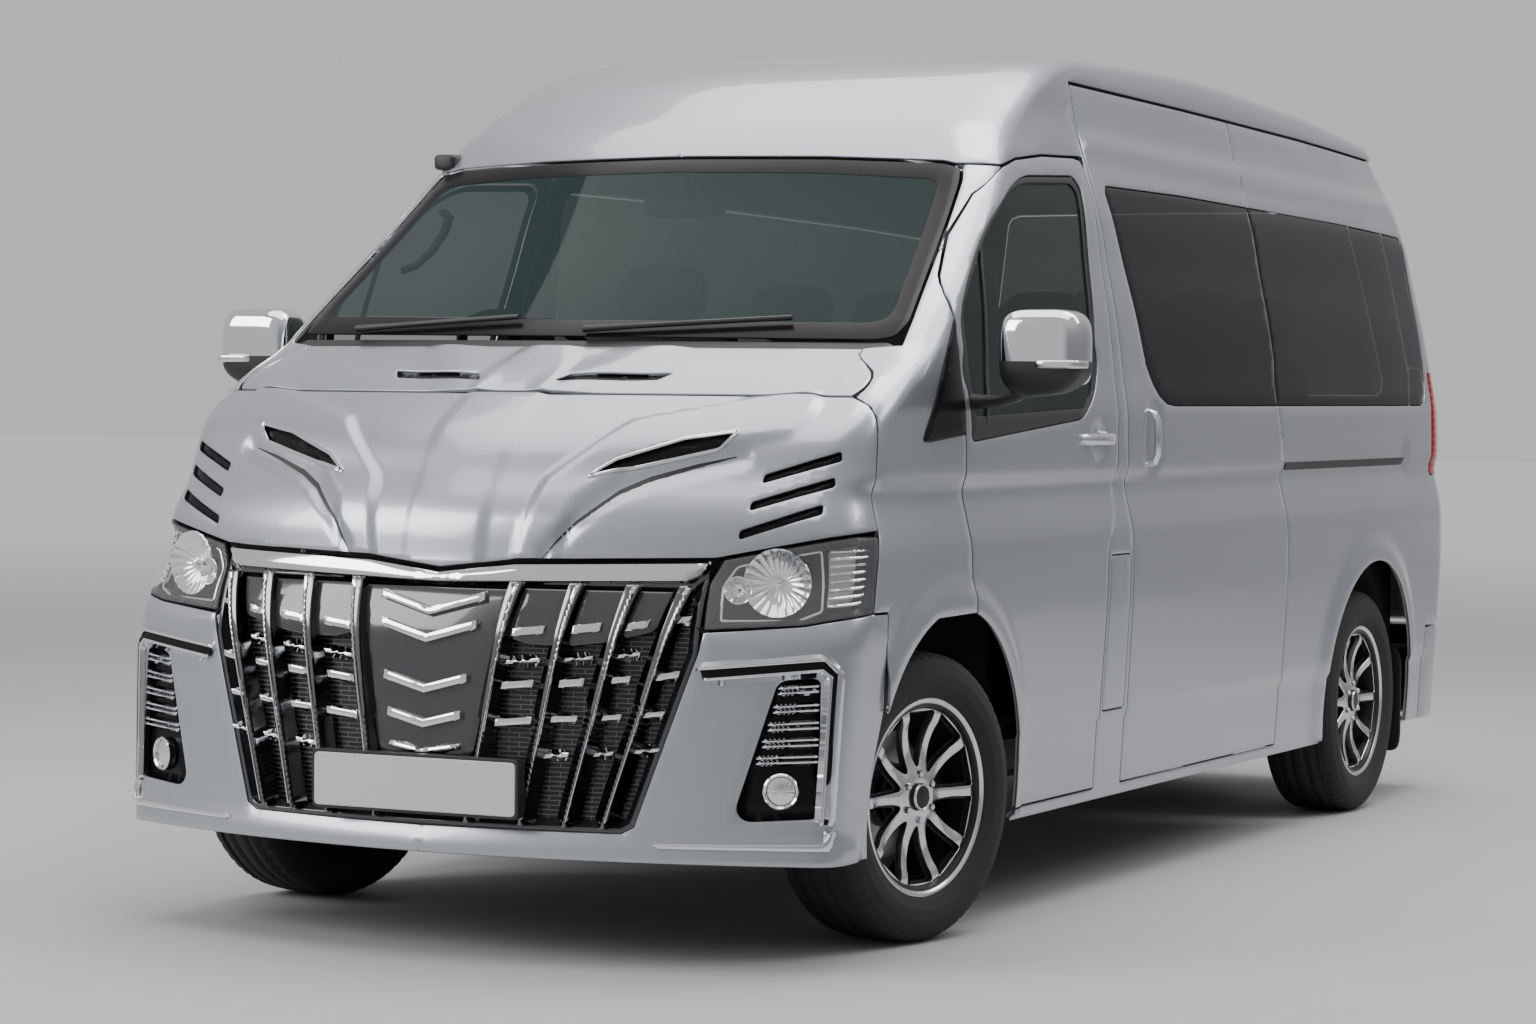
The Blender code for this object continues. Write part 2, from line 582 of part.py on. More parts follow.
# The tailgate and its window in the rear view, as (x, z)
GATE_HALF = 0.790
GATE_BASE_Z = 0.560
GATE_TOP_Z = 2.000
TAILGATE = [(-GATE_HALF, GATE_BASE_Z), (GATE_HALF, GATE_BASE_Z), (GATE_HALF, 1.350),
            (0.690, GATE_TOP_Z - 0.06), (0.640, GATE_TOP_Z), (-0.640, GATE_TOP_Z),
            (-0.690, GATE_TOP_Z - 0.06), (-GATE_HALF, 1.350)]
GATE_WINDOW = [(-0.680, 1.280), (0.680, 1.280), (0.700, 1.320), (0.600, 1.850), (0.560, 1.880),
               (-0.560, 1.880), (-0.600, 1.850), (-0.700, 1.320)]


def rear_cut(name, outline, grow=0.0):
    return prism(name, outline, "Y", 1.9, 2.8, grow=grow)


GATE_HOLE = rear_cut("gate_hole", TAILGATE, LID_GAP)
GATE_BODY = rear_cut("gate_body", TAILGATE)
# The flange stops short of the hinge, where the gate's top edge dips as it opens
GATE_LIP = [(0.0, GATE_BASE_Z + FLANGE), (0.760, GATE_BASE_Z + FLANGE), (0.760, 1.346), (0.672, 1.870),
            (0.700, 1.900), (0.693, 1.945), (0.643, GATE_TOP_Z + 0.005), (0.0, GATE_TOP_Z + 0.005)]
GATE_POCKET = pocket("gate_pocket", GATE_HOLE, rear_cut("gate_lip", both_sides(GATE_LIP)), DOOR_WALL)
GATE_GLASS_HOLE = rear_cut("gate_glass_hole", GATE_WINDOW)
GATE_GLASS_BODY = rear_cut("gate_glass_body", GATE_WINDOW, -SEAM)

# Everything in front of the side panels
FRONT_OF_SIDE = [(-2.8, 0.1), (-2.8, 1.868)] + CORNER_SIDE[4:]
SIDE_REGION = region("side_region", (0.30, -2.8, SILL_Z - 0.01), (FAR, 2.8, 2.7))
SIDE_FRONT = side_cut("side_front", FRONT_OF_SIDE, SEAM)

# The bumper reaches from the sill line up to the lamps and back to the front arch
BUMPER_BACK_Y = -1.990
BUMPER_TOP = [(-2.8, 0.1), (-2.8, 0.787), (BUMPER_BACK_Y, 0.787), (BUMPER_BACK_Y, 0.1)]
BUMPER_HOLE = prism("bumper_hole", BUMPER_TOP, "X", -FAR, FAR, grow=SEAM)
BUMPER_BODY = prism("bumper_body", BUMPER_TOP, "X", -FAR, FAR)
GRILLE_HOLE = front_cut("grille_hole", both_sides(GRILLE), SEAM)
GRILLE_BODY = front_cut("grille_body", both_sides(GRILLE))
CHROME_HOLE = front_cut("chrome_hole", both_sides(CHROME_BAR), SEAM)
CHROME_BODY = front_cut("chrome_body", both_sides(CHROME_BAR))
REAR_BUMPER_Y = 2.250
REAR_BUMPER_TOP = 0.540
REAR_BUMPER = [(REAR_BUMPER_Y, 0.1), (REAR_BUMPER_Y, REAR_BUMPER_TOP), (2.8, REAR_BUMPER_TOP), (2.8, 0.1)]
REAR_BUMPER_HOLE = prism("rear_bumper_hole", REAR_BUMPER, "X", -FAR, FAR, grow=SEAM)
REAR_BUMPER_BODY = prism("rear_bumper_body", REAR_BUMPER, "X", -FAR, FAR)
TAIL_LAMP = [(2.330, 1.030), (2.330, 1.360), (2.8, 1.380), (2.8, 1.010)]
TAIL_LAMP_HOLE = side_cut("tail_lamp_hole", TAIL_LAMP, SEAM, near=0.80)
TAIL_LAMP_BODY = side_cut("tail_lamp_body", TAIL_LAMP, near=0.80)


def body_shell():
    fender = shell("fender_left", WALL, [CORNER_REGION],
                   [SCREEN_HOLE, COWL_HOLE, LAMP_HOLE, GRILLE_HOLE, BUMPER_HOLE, FRONT_ARCH, DOOR_POCKET, ROOF_HOLE,
                    NOSE_POCKET], PAINT)
    mirrored(fender, "fender_right")
    side = shell("side_left", WALL, [SIDE_REGION],
                 [SIDE_FRONT, FRONT_ARCH, REAR_ARCH, ROOF_HOLE, GATE_POCKET, REAR_BUMPER_HOLE, TAIL_LAMP_HOLE], PAINT)
    right = mirrored(side, "side_right")
    for cutter in (SLIDER_POCKET, LID_POCKET, DOOR_POCKET, BAND_HOLE):
        bake(boolean(side, cutter, "DIFFERENCE"))
    for cutter in (flip(DOOR_POCKET), flip(BAND_HOLE)):
        bake(boolean(right, cutter, "DIFFERENCE"))
    post(side, QUARTER_POST)
    post(right, QUARTER_POST, True)
    bake(boolean(side, region("rail_slot", (0.890, 0.860, 1.060), (1.0, 2.030, 1.085)), "DIFFERENCE"))
    shell("roof", WALL, [ROOF_BODY], [SCREEN_HOLE, GATE_HOLE, DOOR_POCKET, flip(DOOR_POCKET), SLIDER_POCKET],
          PAINT)
    slider = shell("sliding_door", DOOR_WALL, [SLIDER_BODY], [BAND_HOLE, LID_HOLE], PAINT)
    post(slider, SLIDER_POST)
    join("sliding_door", [slider, box("handle", (0.900, -0.268, 1.092), (0.934, -0.240, 1.240), HANDLE_ROUND)], PAINT)
    tail = shell("tail_lamp_left", WALL, [TAIL_LAMP_BODY], [GATE_HOLE], RED)
    mirrored(tail, "tail_lamp_right")


HANDLE_ROUND = 0.006
QUARTER_POST = [(0.801, 1.190), (0.830, 1.190), (0.830, 1.880), (0.7775, 1.880), (0.7780, 1.500), (0.778, 1.260)]
SLIDER_POST = [(0.715, 1.190), (0.762, 1.190), (0.764, 1.250), (0.772, 1.500), (0.771, 1.880), (0.715, 1.880)]


def post(owner, outline, right=False):
    """A window post behind the glass."""
    cutter = side_cut("post_cut", outline)
    made = shell("post", "post", [flip(cutter) if right else cutter], [], PAINT)
    join(owner.name, [owner, made], PAINT)


def flip(cutter):
    """The same cutter on the right side."""
    copy = mirrored(cutter, cutter.name + "_right")
    return as_cutter(copy)


def openings():
    cowl = front_cut("cowl_body", COWL, -SEAM)
    shell("cowl", PANEL, [cowl], [], BLACK)
    bonnet = shell("bonnet", PANEL, [NOSE_BODY], [], PAINT)
    for side in (1, -1):
        outlines = [[(side * x, z) for x, z in outline] for outline in (BONNET_SLOT, LAMP_SLOT, *GILLS)]
        bake(boolean(bonnet, recess(f"slots_{side}", outlines, SLOT_DEPTH), "DIFFERENCE"))
    door = shell("door_left", DOOR_WALL, [DOOR_BODY, DOOR_KEEP], [DOOR_GLASS_HOLE, FRONT_ARCH], PAINT)
    handle = box("handle", (0.900, -0.758, 1.150), (0.934, -0.549, 1.180), HANDLE_ROUND)
    join("door_left", [door, handle], PAINT)
    mirrored(door, "door_right")
    shell("tailgate", DOOR_WALL, [GATE_BODY], [GATE_GLASS_HOLE], PAINT)
    shell("fuel_lid", LID_WALL, [LID_BODY], [], PAINT)
    glass = shell("door_glass_left", GLASS, [DOOR_GLASS_BODY], [], GLASSY)
    mirrored(glass, "door_glass_right")
    shell("windscreen", GLASS, [SCREEN_BODY], [], GLASSY)
    shell("tailgate_glass", GLASS, [GATE_GLASS_BODY], [], GLASSY)
    band = shell("side_glass_right", GLASS, [BAND_GLASS], [], GLASSY)
    shell("side_glass_left", GLASS, [BAND_GLASS], [SLIDER_HOLE], GLASSY)
    shell("sliding_door_glass", GLASS, [BAND_GLASS, SLIDER_BODY], [], GLASSY)
    band.data.transform(Matrix.Diagonal((-1, 1, 1, 1)))
    band.data.flip_normals()


def spread(points, offset):
    """The plan points moved outwards along their normals."""
    ahead, behind = np.roll(points, -1, axis=0), np.roll(points, 1, axis=0)
    along = ahead - behind
    along[0], along[-1] = points[1] - points[0], points[-1] - points[-2]
    normal = np.column_stack([-along[:, 1], along[:, 0]])
    normal /= np.linalg.norm(normal, axis=1)[:, None]
    return points - offset * normal


def lip_ring(name, low, high, out_low, out_high, depth, back_y, mat):
    """A band that follows the nose in plan, between two heights."""
    half = plan_half((low + high) / 2, 0.0)
    half = half[half[:, 1] < back_y]
    path = np.vstack([half[::-1], half[1:] * (-1, 1)])
    rows = []
    for out, z in ((out_low, low), (out_high, high), (-depth, high), (-depth, low)):
        moved = spread(path, -out)
        rows.append(np.column_stack([moved, np.full(len(moved), z)]))
    count = len(path)
    verts = np.vstack(rows)
    faces = [((r * count) + i, (r * count) + i + 1, ((r + 1) % 4 * count) + i + 1, ((r + 1) % 4 * count) + i)
             for r in range(4) for i in range(count - 1)]
    faces += [(0, count, 2 * count, 3 * count), tuple(r * count + count - 1 for r in (3, 2, 1, 0))]
    return new_object(name, mesh_from(name, verts, faces), BODY, mat)


LIP_BASE_Z = 0.238
LIP_TOP_Z = 0.285
LIP_OUT = 0.035
VENT = [(0.745, 0.337), (0.725, 0.361), (0.807, 0.646), (0.892, 0.655), (0.898, 0.347)]
VENT_BACK_Y = -2.05
FOG_CENTRE = (0.813, 0.401)
FOG_RADIUS = 0.042
FOG_PROUD = 0.010
VENT_SLATS = [0.471, 0.508, 0.545, 0.584, 0.625]
SLAT_HEIGHT = 0.010
# The bright frame round the vent, along its top and down the corner, and the blade under it
FRAME_TOP = [(0.632, 0.650), (0.645, 0.676), (0.960, 0.700), (0.960, 0.672), (0.650, 0.647)]
FRAME_LEG = [(-2.215, 0.332), (-2.212, 0.690), (-2.180, 0.690), (-2.145, 0.332)]
FRAME_BACK_Y = -2.180
BLADE = [(0.555, 0.276), (0.553, 0.281), (0.890, 0.300), (0.960, 0.335), (0.960, 0.290), (0.890, 0.277)]
BLADE_BACK_Y = -2.135
PLATE_HALF = 0.262
PLATE_BASE_Z = 0.335
PLATE_TOP_Z = 0.455
# The leaning bars: x at the foot, x at the head
BARS = [(0.118, 0.207), (0.250, 0.349), (0.353, 0.478), (0.440, 0.595)]
BAR_FOOT_Z = 0.323
BAR_WIDTH = 0.020
BAR_HEAD_WIDTH = 0.030
BAR_PROUD = 0.030
BAR_GAP = 0.003
# The rows between the bars: the chevron's half span, low tip and rise
CHEVRONS = [(0.137, 0.768, 0.037), (0.127, 0.708, 0.035), (0.110, 0.595, 0.029), (0.097, 0.517, 0.024)]
CHEVRON_HEIGHT = 0.020
# The bright teeth between the bars, row by row: inner x, inner z, outer x, outer z, height
TEETH = [
    (0.208, 0.729, 0.287, 0.737, 0.020), (0.349, 0.738, 0.417, 0.746, 0.021),
    (0.471, 0.747, 0.523, 0.757, 0.019), (0.578, 0.764, 0.613, 0.772, 0.015),
    (0.189, 0.611, 0.269, 0.619, 0.018), (0.326, 0.619, 0.387, 0.625, 0.019),
    (0.447, 0.632, 0.490, 0.637, 0.015), (0.545, 0.640, 0.597, 0.650, 0.016),
    (0.177, 0.528, 0.267, 0.537, 0.018), (0.311, 0.542, 0.373, 0.546, 0.015),
    (0.429, 0.550, 0.471, 0.555, 0.012), (0.521, 0.559, 0.566, 0.564, 0.012),
    (0.298, 0.462, 0.354, 0.468, 0.010), (0.413, 0.470, 0.456, 0.475, 0.009),
    (0.504, 0.480, 0.557, 0.486, 0.008),
]
TOOTH_LEAN = 0.007
TOOTH_PROUD = 0.012
ROOT = 0.010


def front_end():
    bumper = shell("front_bumper", WALL, [BUMPER_BODY], [GRILLE_HOLE, FRONT_ARCH, flip(FRONT_ARCH)], PAINT)
    for lamp in (LAMP_HOLE, flip(LAMP_HOLE)):
        bake(boolean(bumper, lamp, "DIFFERENCE"))
    vent_cut = front_cut("vent_cut", VENT, near=VENT_BACK_Y)
    for cutter in (vent_cut, flip(vent_cut)):
        bake(boolean(bumper, cutter, "DIFFERENCE"))
    lip = lip_ring("lip", LIP_BASE_Z, LIP_TOP_Z, LIP_OUT, LIP_OUT * 0.6, WALL * 0.6, BUMPER_BACK_Y - 0.03, PAINT)
    pieces = [bumper, lip]
    leg = side_cut("frame_leg", FRAME_LEG, near=0.900)
    top = front_cut("frame_top", FRAME_TOP, near=FRAME_BACK_Y)
    for cutter in (both(top, leg, "UNION"), front_cut("blade", BLADE, near=BLADE_BACK_Y)):
        trim = shell("trim", "trim", [cutter], [], PAINT)
        pieces += [trim, mirrored(trim, "trim_right")]
    join("front_bumper", pieces, PAINT)
    lamp = shell("headlamp_left", WALL, [LAMP_BODY], [GRILLE_HOLE, NOSE_HOLE], CLEAR)
    mirrored(lamp, "headlamp_right", CLEAR)
    vent = shell("vent_left", PANEL, [front_cut("vent_body", VENT, -SEAM, near=VENT_BACK_Y)], [], BLACK)
    join("vent_left", [vent, *vent_details()], BLACK)
    mirrored(bpy.data.objects["vent_left"], "vent_right", BLACK)
    grille()


def vent_details():
    """The round fog lamp and the slats over it."""
    x, z = FOG_CENTRE
    face = nose_y(x, z) - FOG_PROUD
    pieces = [rod("fog", (x, face, z), (x, nose_y(x, z) + 2 * ROOT, z), FOG_RADIUS, 20)]
    rows = np.array(VENT[1:3])
    outlines = []
    for low in VENT_SLATS:
        start = float(np.interp(low, rows[:, 1], rows[:, 0])) + 0.006
        outlines.append([(start, low), (0.850, low + 0.004), (0.850, low + 0.004 + SLAT_HEIGHT),
                         (start, low + SLAT_HEIGHT)])
    return pieces + [relief("slats", outlines, ROOT, 0.004)]


def relief(name, outlines, root, proud):
    """Raised pieces over the nose, each from an outline in the front view."""
    verts, faces = [], []
    for outline in outlines:
        base, count = len(verts), len(outline)
        verts += [(x, nose_y(x, z) + root, z) for x, z in outline]
        verts += [(x, nose_y(x, z) - proud, z) for x, z in outline]
        faces += [tuple(base + i for i in range(count)), tuple(base + 2 * count - 1 - i for i in range(count))]
        faces += [(base + i, base + (i + 1) % count, base + count + (i + 1) % count, base + count + i)
                  for i in range(count)]
    return new_object(name, mesh_from(name, verts, faces), BODY)


def grille():
    """A dark panel with leaning bars, rows of chevrons and teeth, and the number plate's base."""
    panel = shell("grille", PANEL, [GRILLE_BODY], [CHROME_HOLE], BLACK)
    shell("chrome_bar", "bar", [CHROME_BODY], [], CHROME)
    edge = np.array(CHROME_BAR[:2])
    pieces = [panel]
    for side in (-1, 1):
        for foot, head in BARS:
            top = float(np.interp(head, edge[:, 0], edge[:, 1])) - BAR_GAP
            pieces.append(loft_bar("bar", (side * foot, BAR_FOOT_Z), (side * head, top)))
    wings = []
    for side in (-1, 1):
        for span, tip, rise in CHEVRONS:
            wings.append([(0, tip), (side * span, tip + rise), (side * (span - 0.012), tip + rise + 0.004),
                          (0, tip + CHEVRON_HEIGHT)])
        for x0, z0, x1, z1, height in TEETH:
            wings.append([(side * x0, z0), (side * x1, z1), (side * (x1 + TOOTH_LEAN), z1 + height),
                          (side * (x0 + TOOTH_LEAN), z0 + height)])
    pieces.append(relief("wings_right", wings[:len(wings) // 2], ROOT, TOOTH_PROUD))
    pieces.append(relief("wings_left", wings[len(wings) // 2:], ROOT, TOOTH_PROUD))
    middle = (PLATE_BASE_Z + PLATE_TOP_Z) / 2
    face = nose_y(0, middle) - BAR_PROUD - 0.012
    low, high = (-PLATE_HALF, face, PLATE_BASE_Z), (PLATE_HALF, nose_y(0, middle) + 0.02, PLATE_TOP_Z)
    pieces.append(box("plate", low, high))
    join("grille", pieces, BLACK)


def loft_bar(name, foot, head):
    """A square bar that stands proud of the nose between two points on it, wider at its head."""
    verts, faces = [], []
    count = 4
    for i in range(count + 1):
        t = i / count
        half = (BAR_WIDTH + (BAR_HEAD_WIDTH - BAR_WIDTH) * t**4) / 2
        x = foot[0] + (head[0] - foot[0]) * t
        z = foot[1] + (head[1] - foot[1]) * t
        y = nose_y(x, z)
        verts += [(x - half, y + 0.012, z), (x + half, y + 0.012, z),
                  (x + half * 0.5, y - BAR_PROUD, z), (x - half * 0.5, y - BAR_PROUD, z)]
    for i in range(count):
        for k in range(4):
            a, b = 4 * i + k, 4 * i + (k + 1) % 4
            faces.append((a, b, b + 4, a + 4))
    faces += [(0, 1, 2, 3), tuple(4 * count + k for k in range(4))]
    return new_object(name, mesh_from(name, verts, faces), BODY)


def rear_end():
    bumper = shell("rear_bumper", WALL, [REAR_BUMPER_BODY], [], PAINT)
    step = box("step", (-0.62, 2.44, 0.42), (0.62, REAR_END_Y, REAR_BUMPER_TOP - 0.004), 0.01)
    join("rear_bumper", [bumper, step], PAINT)


TYRE_PROFILE = [(-0.085, 0.222), (-0.112, 0.262), (-0.114, 0.290), (-0.100, 0.326), (-0.084, 0.337),
                (0.0, TYRE_RADIUS), (0.084, 0.337), (0.100, 0.326), (0.114, 0.290), (0.112, 0.262),
                (0.085, 0.222)]
RIM_PROFILE = [(-0.092, 0.2217), (-0.092, 0.2300), (-0.086, 0.2217), (0.086, 0.2217), (0.092, 0.2300),
               (0.098, 0.2300), (0.094, 0.2000), (0.070, 0.1980), (0.078, 0.060), (0.074, 0.0),
               (0.030, 0.0), (0.030, 0.085), (0.050, 0.195), (-0.020, 0.203), (-0.092, 0.206)]
HUB_FACE = 0.030
WHEEL_STEPS = 20
SPOKES = 10
# One opening between two spokes: radius, then half its width
SPOKE_HOLE = [(0.092, 0.007), (0.140, 0.023), (0.188, 0.036)]


def wheels():
    for place, y, side in (("front_left", FRONT_AXLE_Y, 1), ("front_right", FRONT_AXLE_Y, -1),
                           ("rear_left", REAR_AXLE_Y, 1), ("rear_right", REAR_AXLE_Y, -1)):
        front = place.startswith("front")
        centre, spin = wheel_place(y, side, front)
        tyre = [(x * side, r) for x, r in TYRE_PROFILE]
        rim = [(x * side, r) for x, r in RIM_PROFILE]
        turned("tyre_" + place, tyre, centre, WHEEL_STEPS, RUBBER, spin)
        cut_spokes(turned("rim_" + place, rim, centre, WHEEL_STEPS, ALLOY, spin), centre, spin, side)


def cut_spokes(rim, centre, spin, side):
    """Cuts the ring of openings that leaves the spokes."""
    verts, faces = [], []
    for k in range(SPOKES):
        turn = Matrix.Rotation(2 * pi * (k + 0.5) / SPOKES, 4, "X")
        ring = [(r, -w) for r, w in SPOKE_HOLE] + [(r, w) for r, w in reversed(SPOKE_HOLE)]
        base, count = len(verts), len(ring)
        verts += [turn @ Vector((side * x, w, r)) for x in (0.0, 0.2) for r, w in ring]
        faces += [tuple(base + i for i in range(count)), tuple(base + 2 * count - 1 - i for i in range(count))]
        faces += [(base + i, base + (i + 1) % count, base + count + (i + 1) % count, base + count + i)
                  for i in range(count)]
    cutter = as_cutter(new_object("spoke_cut", mesh_from("spoke_cut", verts, faces), BODY))
    cutter.data.transform(Matrix.Translation(centre) @ Matrix.Rotation(spin, 4, "Z"))
    bake(boolean(rim, cutter, "DIFFERENCE"))


def wheel_place(y, side, steered):
    """A wheel's centre and its turn about the vertical, as the steering stands."""
    if not steered:
        return Vector((side * WHEEL_X, y, AXLE_Z)), 0.0
    arm = side * (WHEEL_X - KINGPIN_X)
    turn = -STEER_ANGLE
    return Vector((side * KINGPIN_X + arm * cos(turn), y + arm * sin(turn), AXLE_Z)), turn


SPARE_CENTRE = Vector((0.0, 2.045, 0.195))
KNUCKLE_HEIGHT = 0.110
ARM_THICKNESS = 0.032
PIN_RADIUS = 0.030
FRAME_TOP_Z = FLOOR_Z - FLOOR_THICKNESS - SEAM
RAIL_HEIGHT = 0.110
RAIL_WIDTH = 0.080


def knuckles():
    for name, side in (("knuckle_left", 1), ("knuckle_right", -1)):
        x = side * KINGPIN_X
        centre, spin = wheel_place(FRONT_AXLE_Y, side, True)
        axle = Vector((cos(spin), sin(spin), 0)) * side
        post = rod("post", (x, FRONT_AXLE_Y, AXLE_Z - KNUCKLE_HEIGHT), (x, FRONT_AXLE_Y, AXLE_Z + KNUCKLE_HEIGHT),
                   PIN_RADIUS, 16)
        start = Vector((x, FRONT_AXLE_Y, AXLE_Z))
        face = centre + axle * (HUB_FACE - HUB_GAP)
        spindle = rod("spindle", start, face, 0.042, 16)
        flange = rod("flange", face - axle * 0.012, face, 0.075, 20)
        join(name, [post, spindle, flange], IRON)


def front_axle():
    """Crossmember with an upper and a lower arm on each side."""
    base = box("member", (-0.36, FRONT_AXLE_Y - 0.09, 0.225), (0.36, FRONT_AXLE_Y + 0.09, FRAME_TOP_Z - RAIL_HEIGHT - SEAM))
    pieces = [base]
    for side in (-1, 1):
        for z0, z1 in ((AXLE_Z - KNUCKLE_HEIGHT - HUB_GAP - ARM_THICKNESS, AXLE_Z - KNUCKLE_HEIGHT - HUB_GAP),
                       (AXLE_Z + KNUCKLE_HEIGHT + HUB_GAP, AXLE_Z + KNUCKLE_HEIGHT + HUB_GAP + ARM_THICKNESS)):
            x0, x1 = sorted((side * 0.33, side * (KINGPIN_X + 0.02)))
            pieces.append(box("arm", (x0, FRONT_AXLE_Y - 0.035, z0), (x1, FRONT_AXLE_Y + 0.035, z1)))
        x0, x1 = sorted((side * 0.30, side * 0.345))
        pieces.append(box("tower", (x0, FRONT_AXLE_Y - 0.08, 0.24), (x1, FRONT_AXLE_Y + 0.08, AXLE_Z + KNUCKLE_HEIGHT + 0.032)))
    join("front_axle", pieces, STEEL)


def rear_axle():
    pieces = [rod("tube", (-WHEEL_X - HUB_FACE + HUB_GAP, REAR_AXLE_Y, AXLE_Z), (WHEEL_X + HUB_FACE - HUB_GAP, REAR_AXLE_Y, AXLE_Z), 0.042, 16)]
    pieces.append(rod("casing", (-0.09, REAR_AXLE_Y, AXLE_Z), (0.09, REAR_AXLE_Y, AXLE_Z), 0.070, 16))
    pieces.append(rod("shaft", (0, ENGINE_REAR_Y + SEAM, 0.300), (0, REAR_AXLE_Y, 0.300), 0.034, 12))
    for side in (-1, 1):
        x = side * 0.53
        pieces.append(box("spring", (x - 0.03, REAR_AXLE_Y - 0.62, 0.375), (x + 0.03, REAR_AXLE_Y + 0.62, FRAME_TOP_Z)))
    join("rear_axle", pieces, STEEL)


def chassis():
    low = FRAME_TOP_Z - RAIL_HEIGHT
    pieces = []
    for side in (-1, 1):
        x0, x1 = side * RAIL_X - RAIL_WIDTH / 2, side * RAIL_X + RAIL_WIDTH / 2
        pieces.append(box("rail", (x0, -2.20, low), (x1, 2.36, FRAME_TOP_Z)))
    for y in (-2.16, -0.62, 0.15, 1.10, SPARE_CENTRE.y, 2.32):
        pieces.append(box("cross", (-RAIL_X, y - 0.03, low + 0.02), (RAIL_X, y + 0.03, FRAME_TOP_Z - 0.02)))
    pieces.append(rod("carrier", SPARE_CENTRE + Vector((0, 0, 0.03 + SEAM)), (0, SPARE_CENTRE.y, low + 0.03), 0.02, 10))
    frame = join("chassis_frame", pieces, STEEL)
    arch = region("frame_arch", (-0.50, REAR_AXLE_Y - 0.12, 0.2), (0.50, REAR_AXLE_Y + 0.12, FRAME_TOP_Z - 0.036))
    bake(boolean(frame, arch, "DIFFERENCE"))


def floor():
    edge = HALF_WIDTH - 0.027 - WALL - 0.004
    reach = HALF_WIDTH - 0.035
    slab = box("slab", (-reach, -1.12, FLOOR_Z - FLOOR_THICKNESS), (reach, 2.44, FLOOR_Z))
    walls = as_cutter(new_object("walls", skin_shell("walls", OUTSIDE, WALL + SEAM), BODY))
    bake(boolean(slab, walls, "DIFFERENCE"))
    deck = box("deck", (-edge + 0.03, -1.90, DECK_Z - FLOOR_THICKNESS), (edge - 0.03, -0.62, DECK_Z))
    riser = box("riser", (-edge + 0.03, -1.12, FLOOR_Z - 0.01), (edge - 0.03, -1.08, DECK_Z - 0.01))
    rear_riser = box("rear_riser", (-edge + 0.03, -0.66, FLOOR_Z - 0.01), (edge - 0.03, -0.62, DECK_Z - 0.01))
    pieces = [slab, deck, riser, rear_riser]
    for side in (-1, 1):
        x0, x1 = sorted((side * 0.60, side * edge))
        pieces.append(box("wheelbox", (x0, REAR_AXLE_Y - 0.47, FLOOR_Z - 0.01), (x1, REAR_AXLE_Y + 0.47, 0.84)))
    obj = join("floor_pan", pieces, STEEL)
    bay = region("engine_bay", (-0.34, -1.60, 0.20), (0.34, -0.665, DECK_Z - FLOOR_THICKNESS))
    bake(boolean(obj, bay, "DIFFERENCE"))
    for side in (-1, 1):
        well = as_cutter(rod("well", (side * 0.64, REAR_AXLE_Y, AXLE_Z), (side * 1.2, REAR_AXLE_Y, AXLE_Z), ARCH_RADIUS, 32))
        bake(boolean(obj, well, "DIFFERENCE"))
    obj.data.materials.clear()
    obj.data.materials.append(STEEL)


def cabin():
    seat_y, seat_z = -0.86, DECK_Z + SEAM
    for name, x in (("seat_driver", -0.43), ("seat_passenger", 0.43)):
        seat(name, x, 0.25, seat_y, seat_z, 0.17, 0.52)
    for name, y in (("bench_front", 0.14), ("bench_middle", 0.86), ("bench_rear", 1.72)):
        bench(name, y, 0.58 if name == "bench_rear" else 0.76)
    dash = box("dash", (-0.80, -1.70, 1.05), (0.80, -1.36, 1.34), 0.03)
    column = rod("column", WHEEL_HUB + COLUMN_AXIS * -0.30, WHEEL_HUB + COLUMN_AXIS * -0.03, 0.035, 12)
    bulkhead = box("bulkhead", (-0.68, -1.735, DECK_Z + SEAM), (0.68, -1.69, 1.32))
    join("dashboard", [dash, column, bulkhead], PLASTIC)
    wheel = turned("steering_wheel", circle_profile(STEERING_RADIUS, 0.014, 5), Vector((0, 0, 0)), 20, BLACK)
    hub = rod("hub", (-0.03 + SEAM, 0, 0), (0.012, 0, 0), 0.05, 16)
    spoke = box("spoke", (-0.012, -STEERING_RADIUS, -0.018), (0.004, STEERING_RADIUS, 0.018))
    join("steering_wheel", [wheel, hub, spoke], BLACK)
    turn = Vector((1, 0, 0)).rotation_difference(COLUMN_AXIS).to_matrix().to_4x4()
    bpy.data.objects["steering_wheel"].data.transform(Matrix.Translation(WHEEL_HUB) @ turn)


STEERING_RADIUS = 0.190
COLUMN_RAKE = radians(35)
COLUMN_AXIS = Vector((0, sin(COLUMN_RAKE), cos(COLUMN_RAKE)))
WHEEL_HUB = Vector((-0.43, -1.22, 1.36))


def circle_profile(radius, thick, sides=6):
    return [(thick * cos(2 * pi * i / sides), radius + thick * sin(2 * pi * i / sides)) for i in range(sides)]


def seat(name, x, half, y, z, cushion, back):
    base = box("base", (x - half, y - 0.27, z), (x + half, y + 0.25, z + cushion))
    rest = box("rest", (x - half, -0.06, 0), (x + half, 0.06, back))
    rest.data.transform(Matrix.Translation((0, y + 0.24, z + cushion - 0.06)) @ Matrix.Rotation(radians(-14), 4, "X"))
    head = box("head", (x - 0.13, -0.045, 0), (x + 0.13, 0.045, 0.17))
    head.data.transform(Matrix.Translation((0, y + 0.38, z + cushion + back - 0.09)) @ Matrix.Rotation(radians(-10), 4, "X"))
    join(name, [base, rest, head], CLOTH)


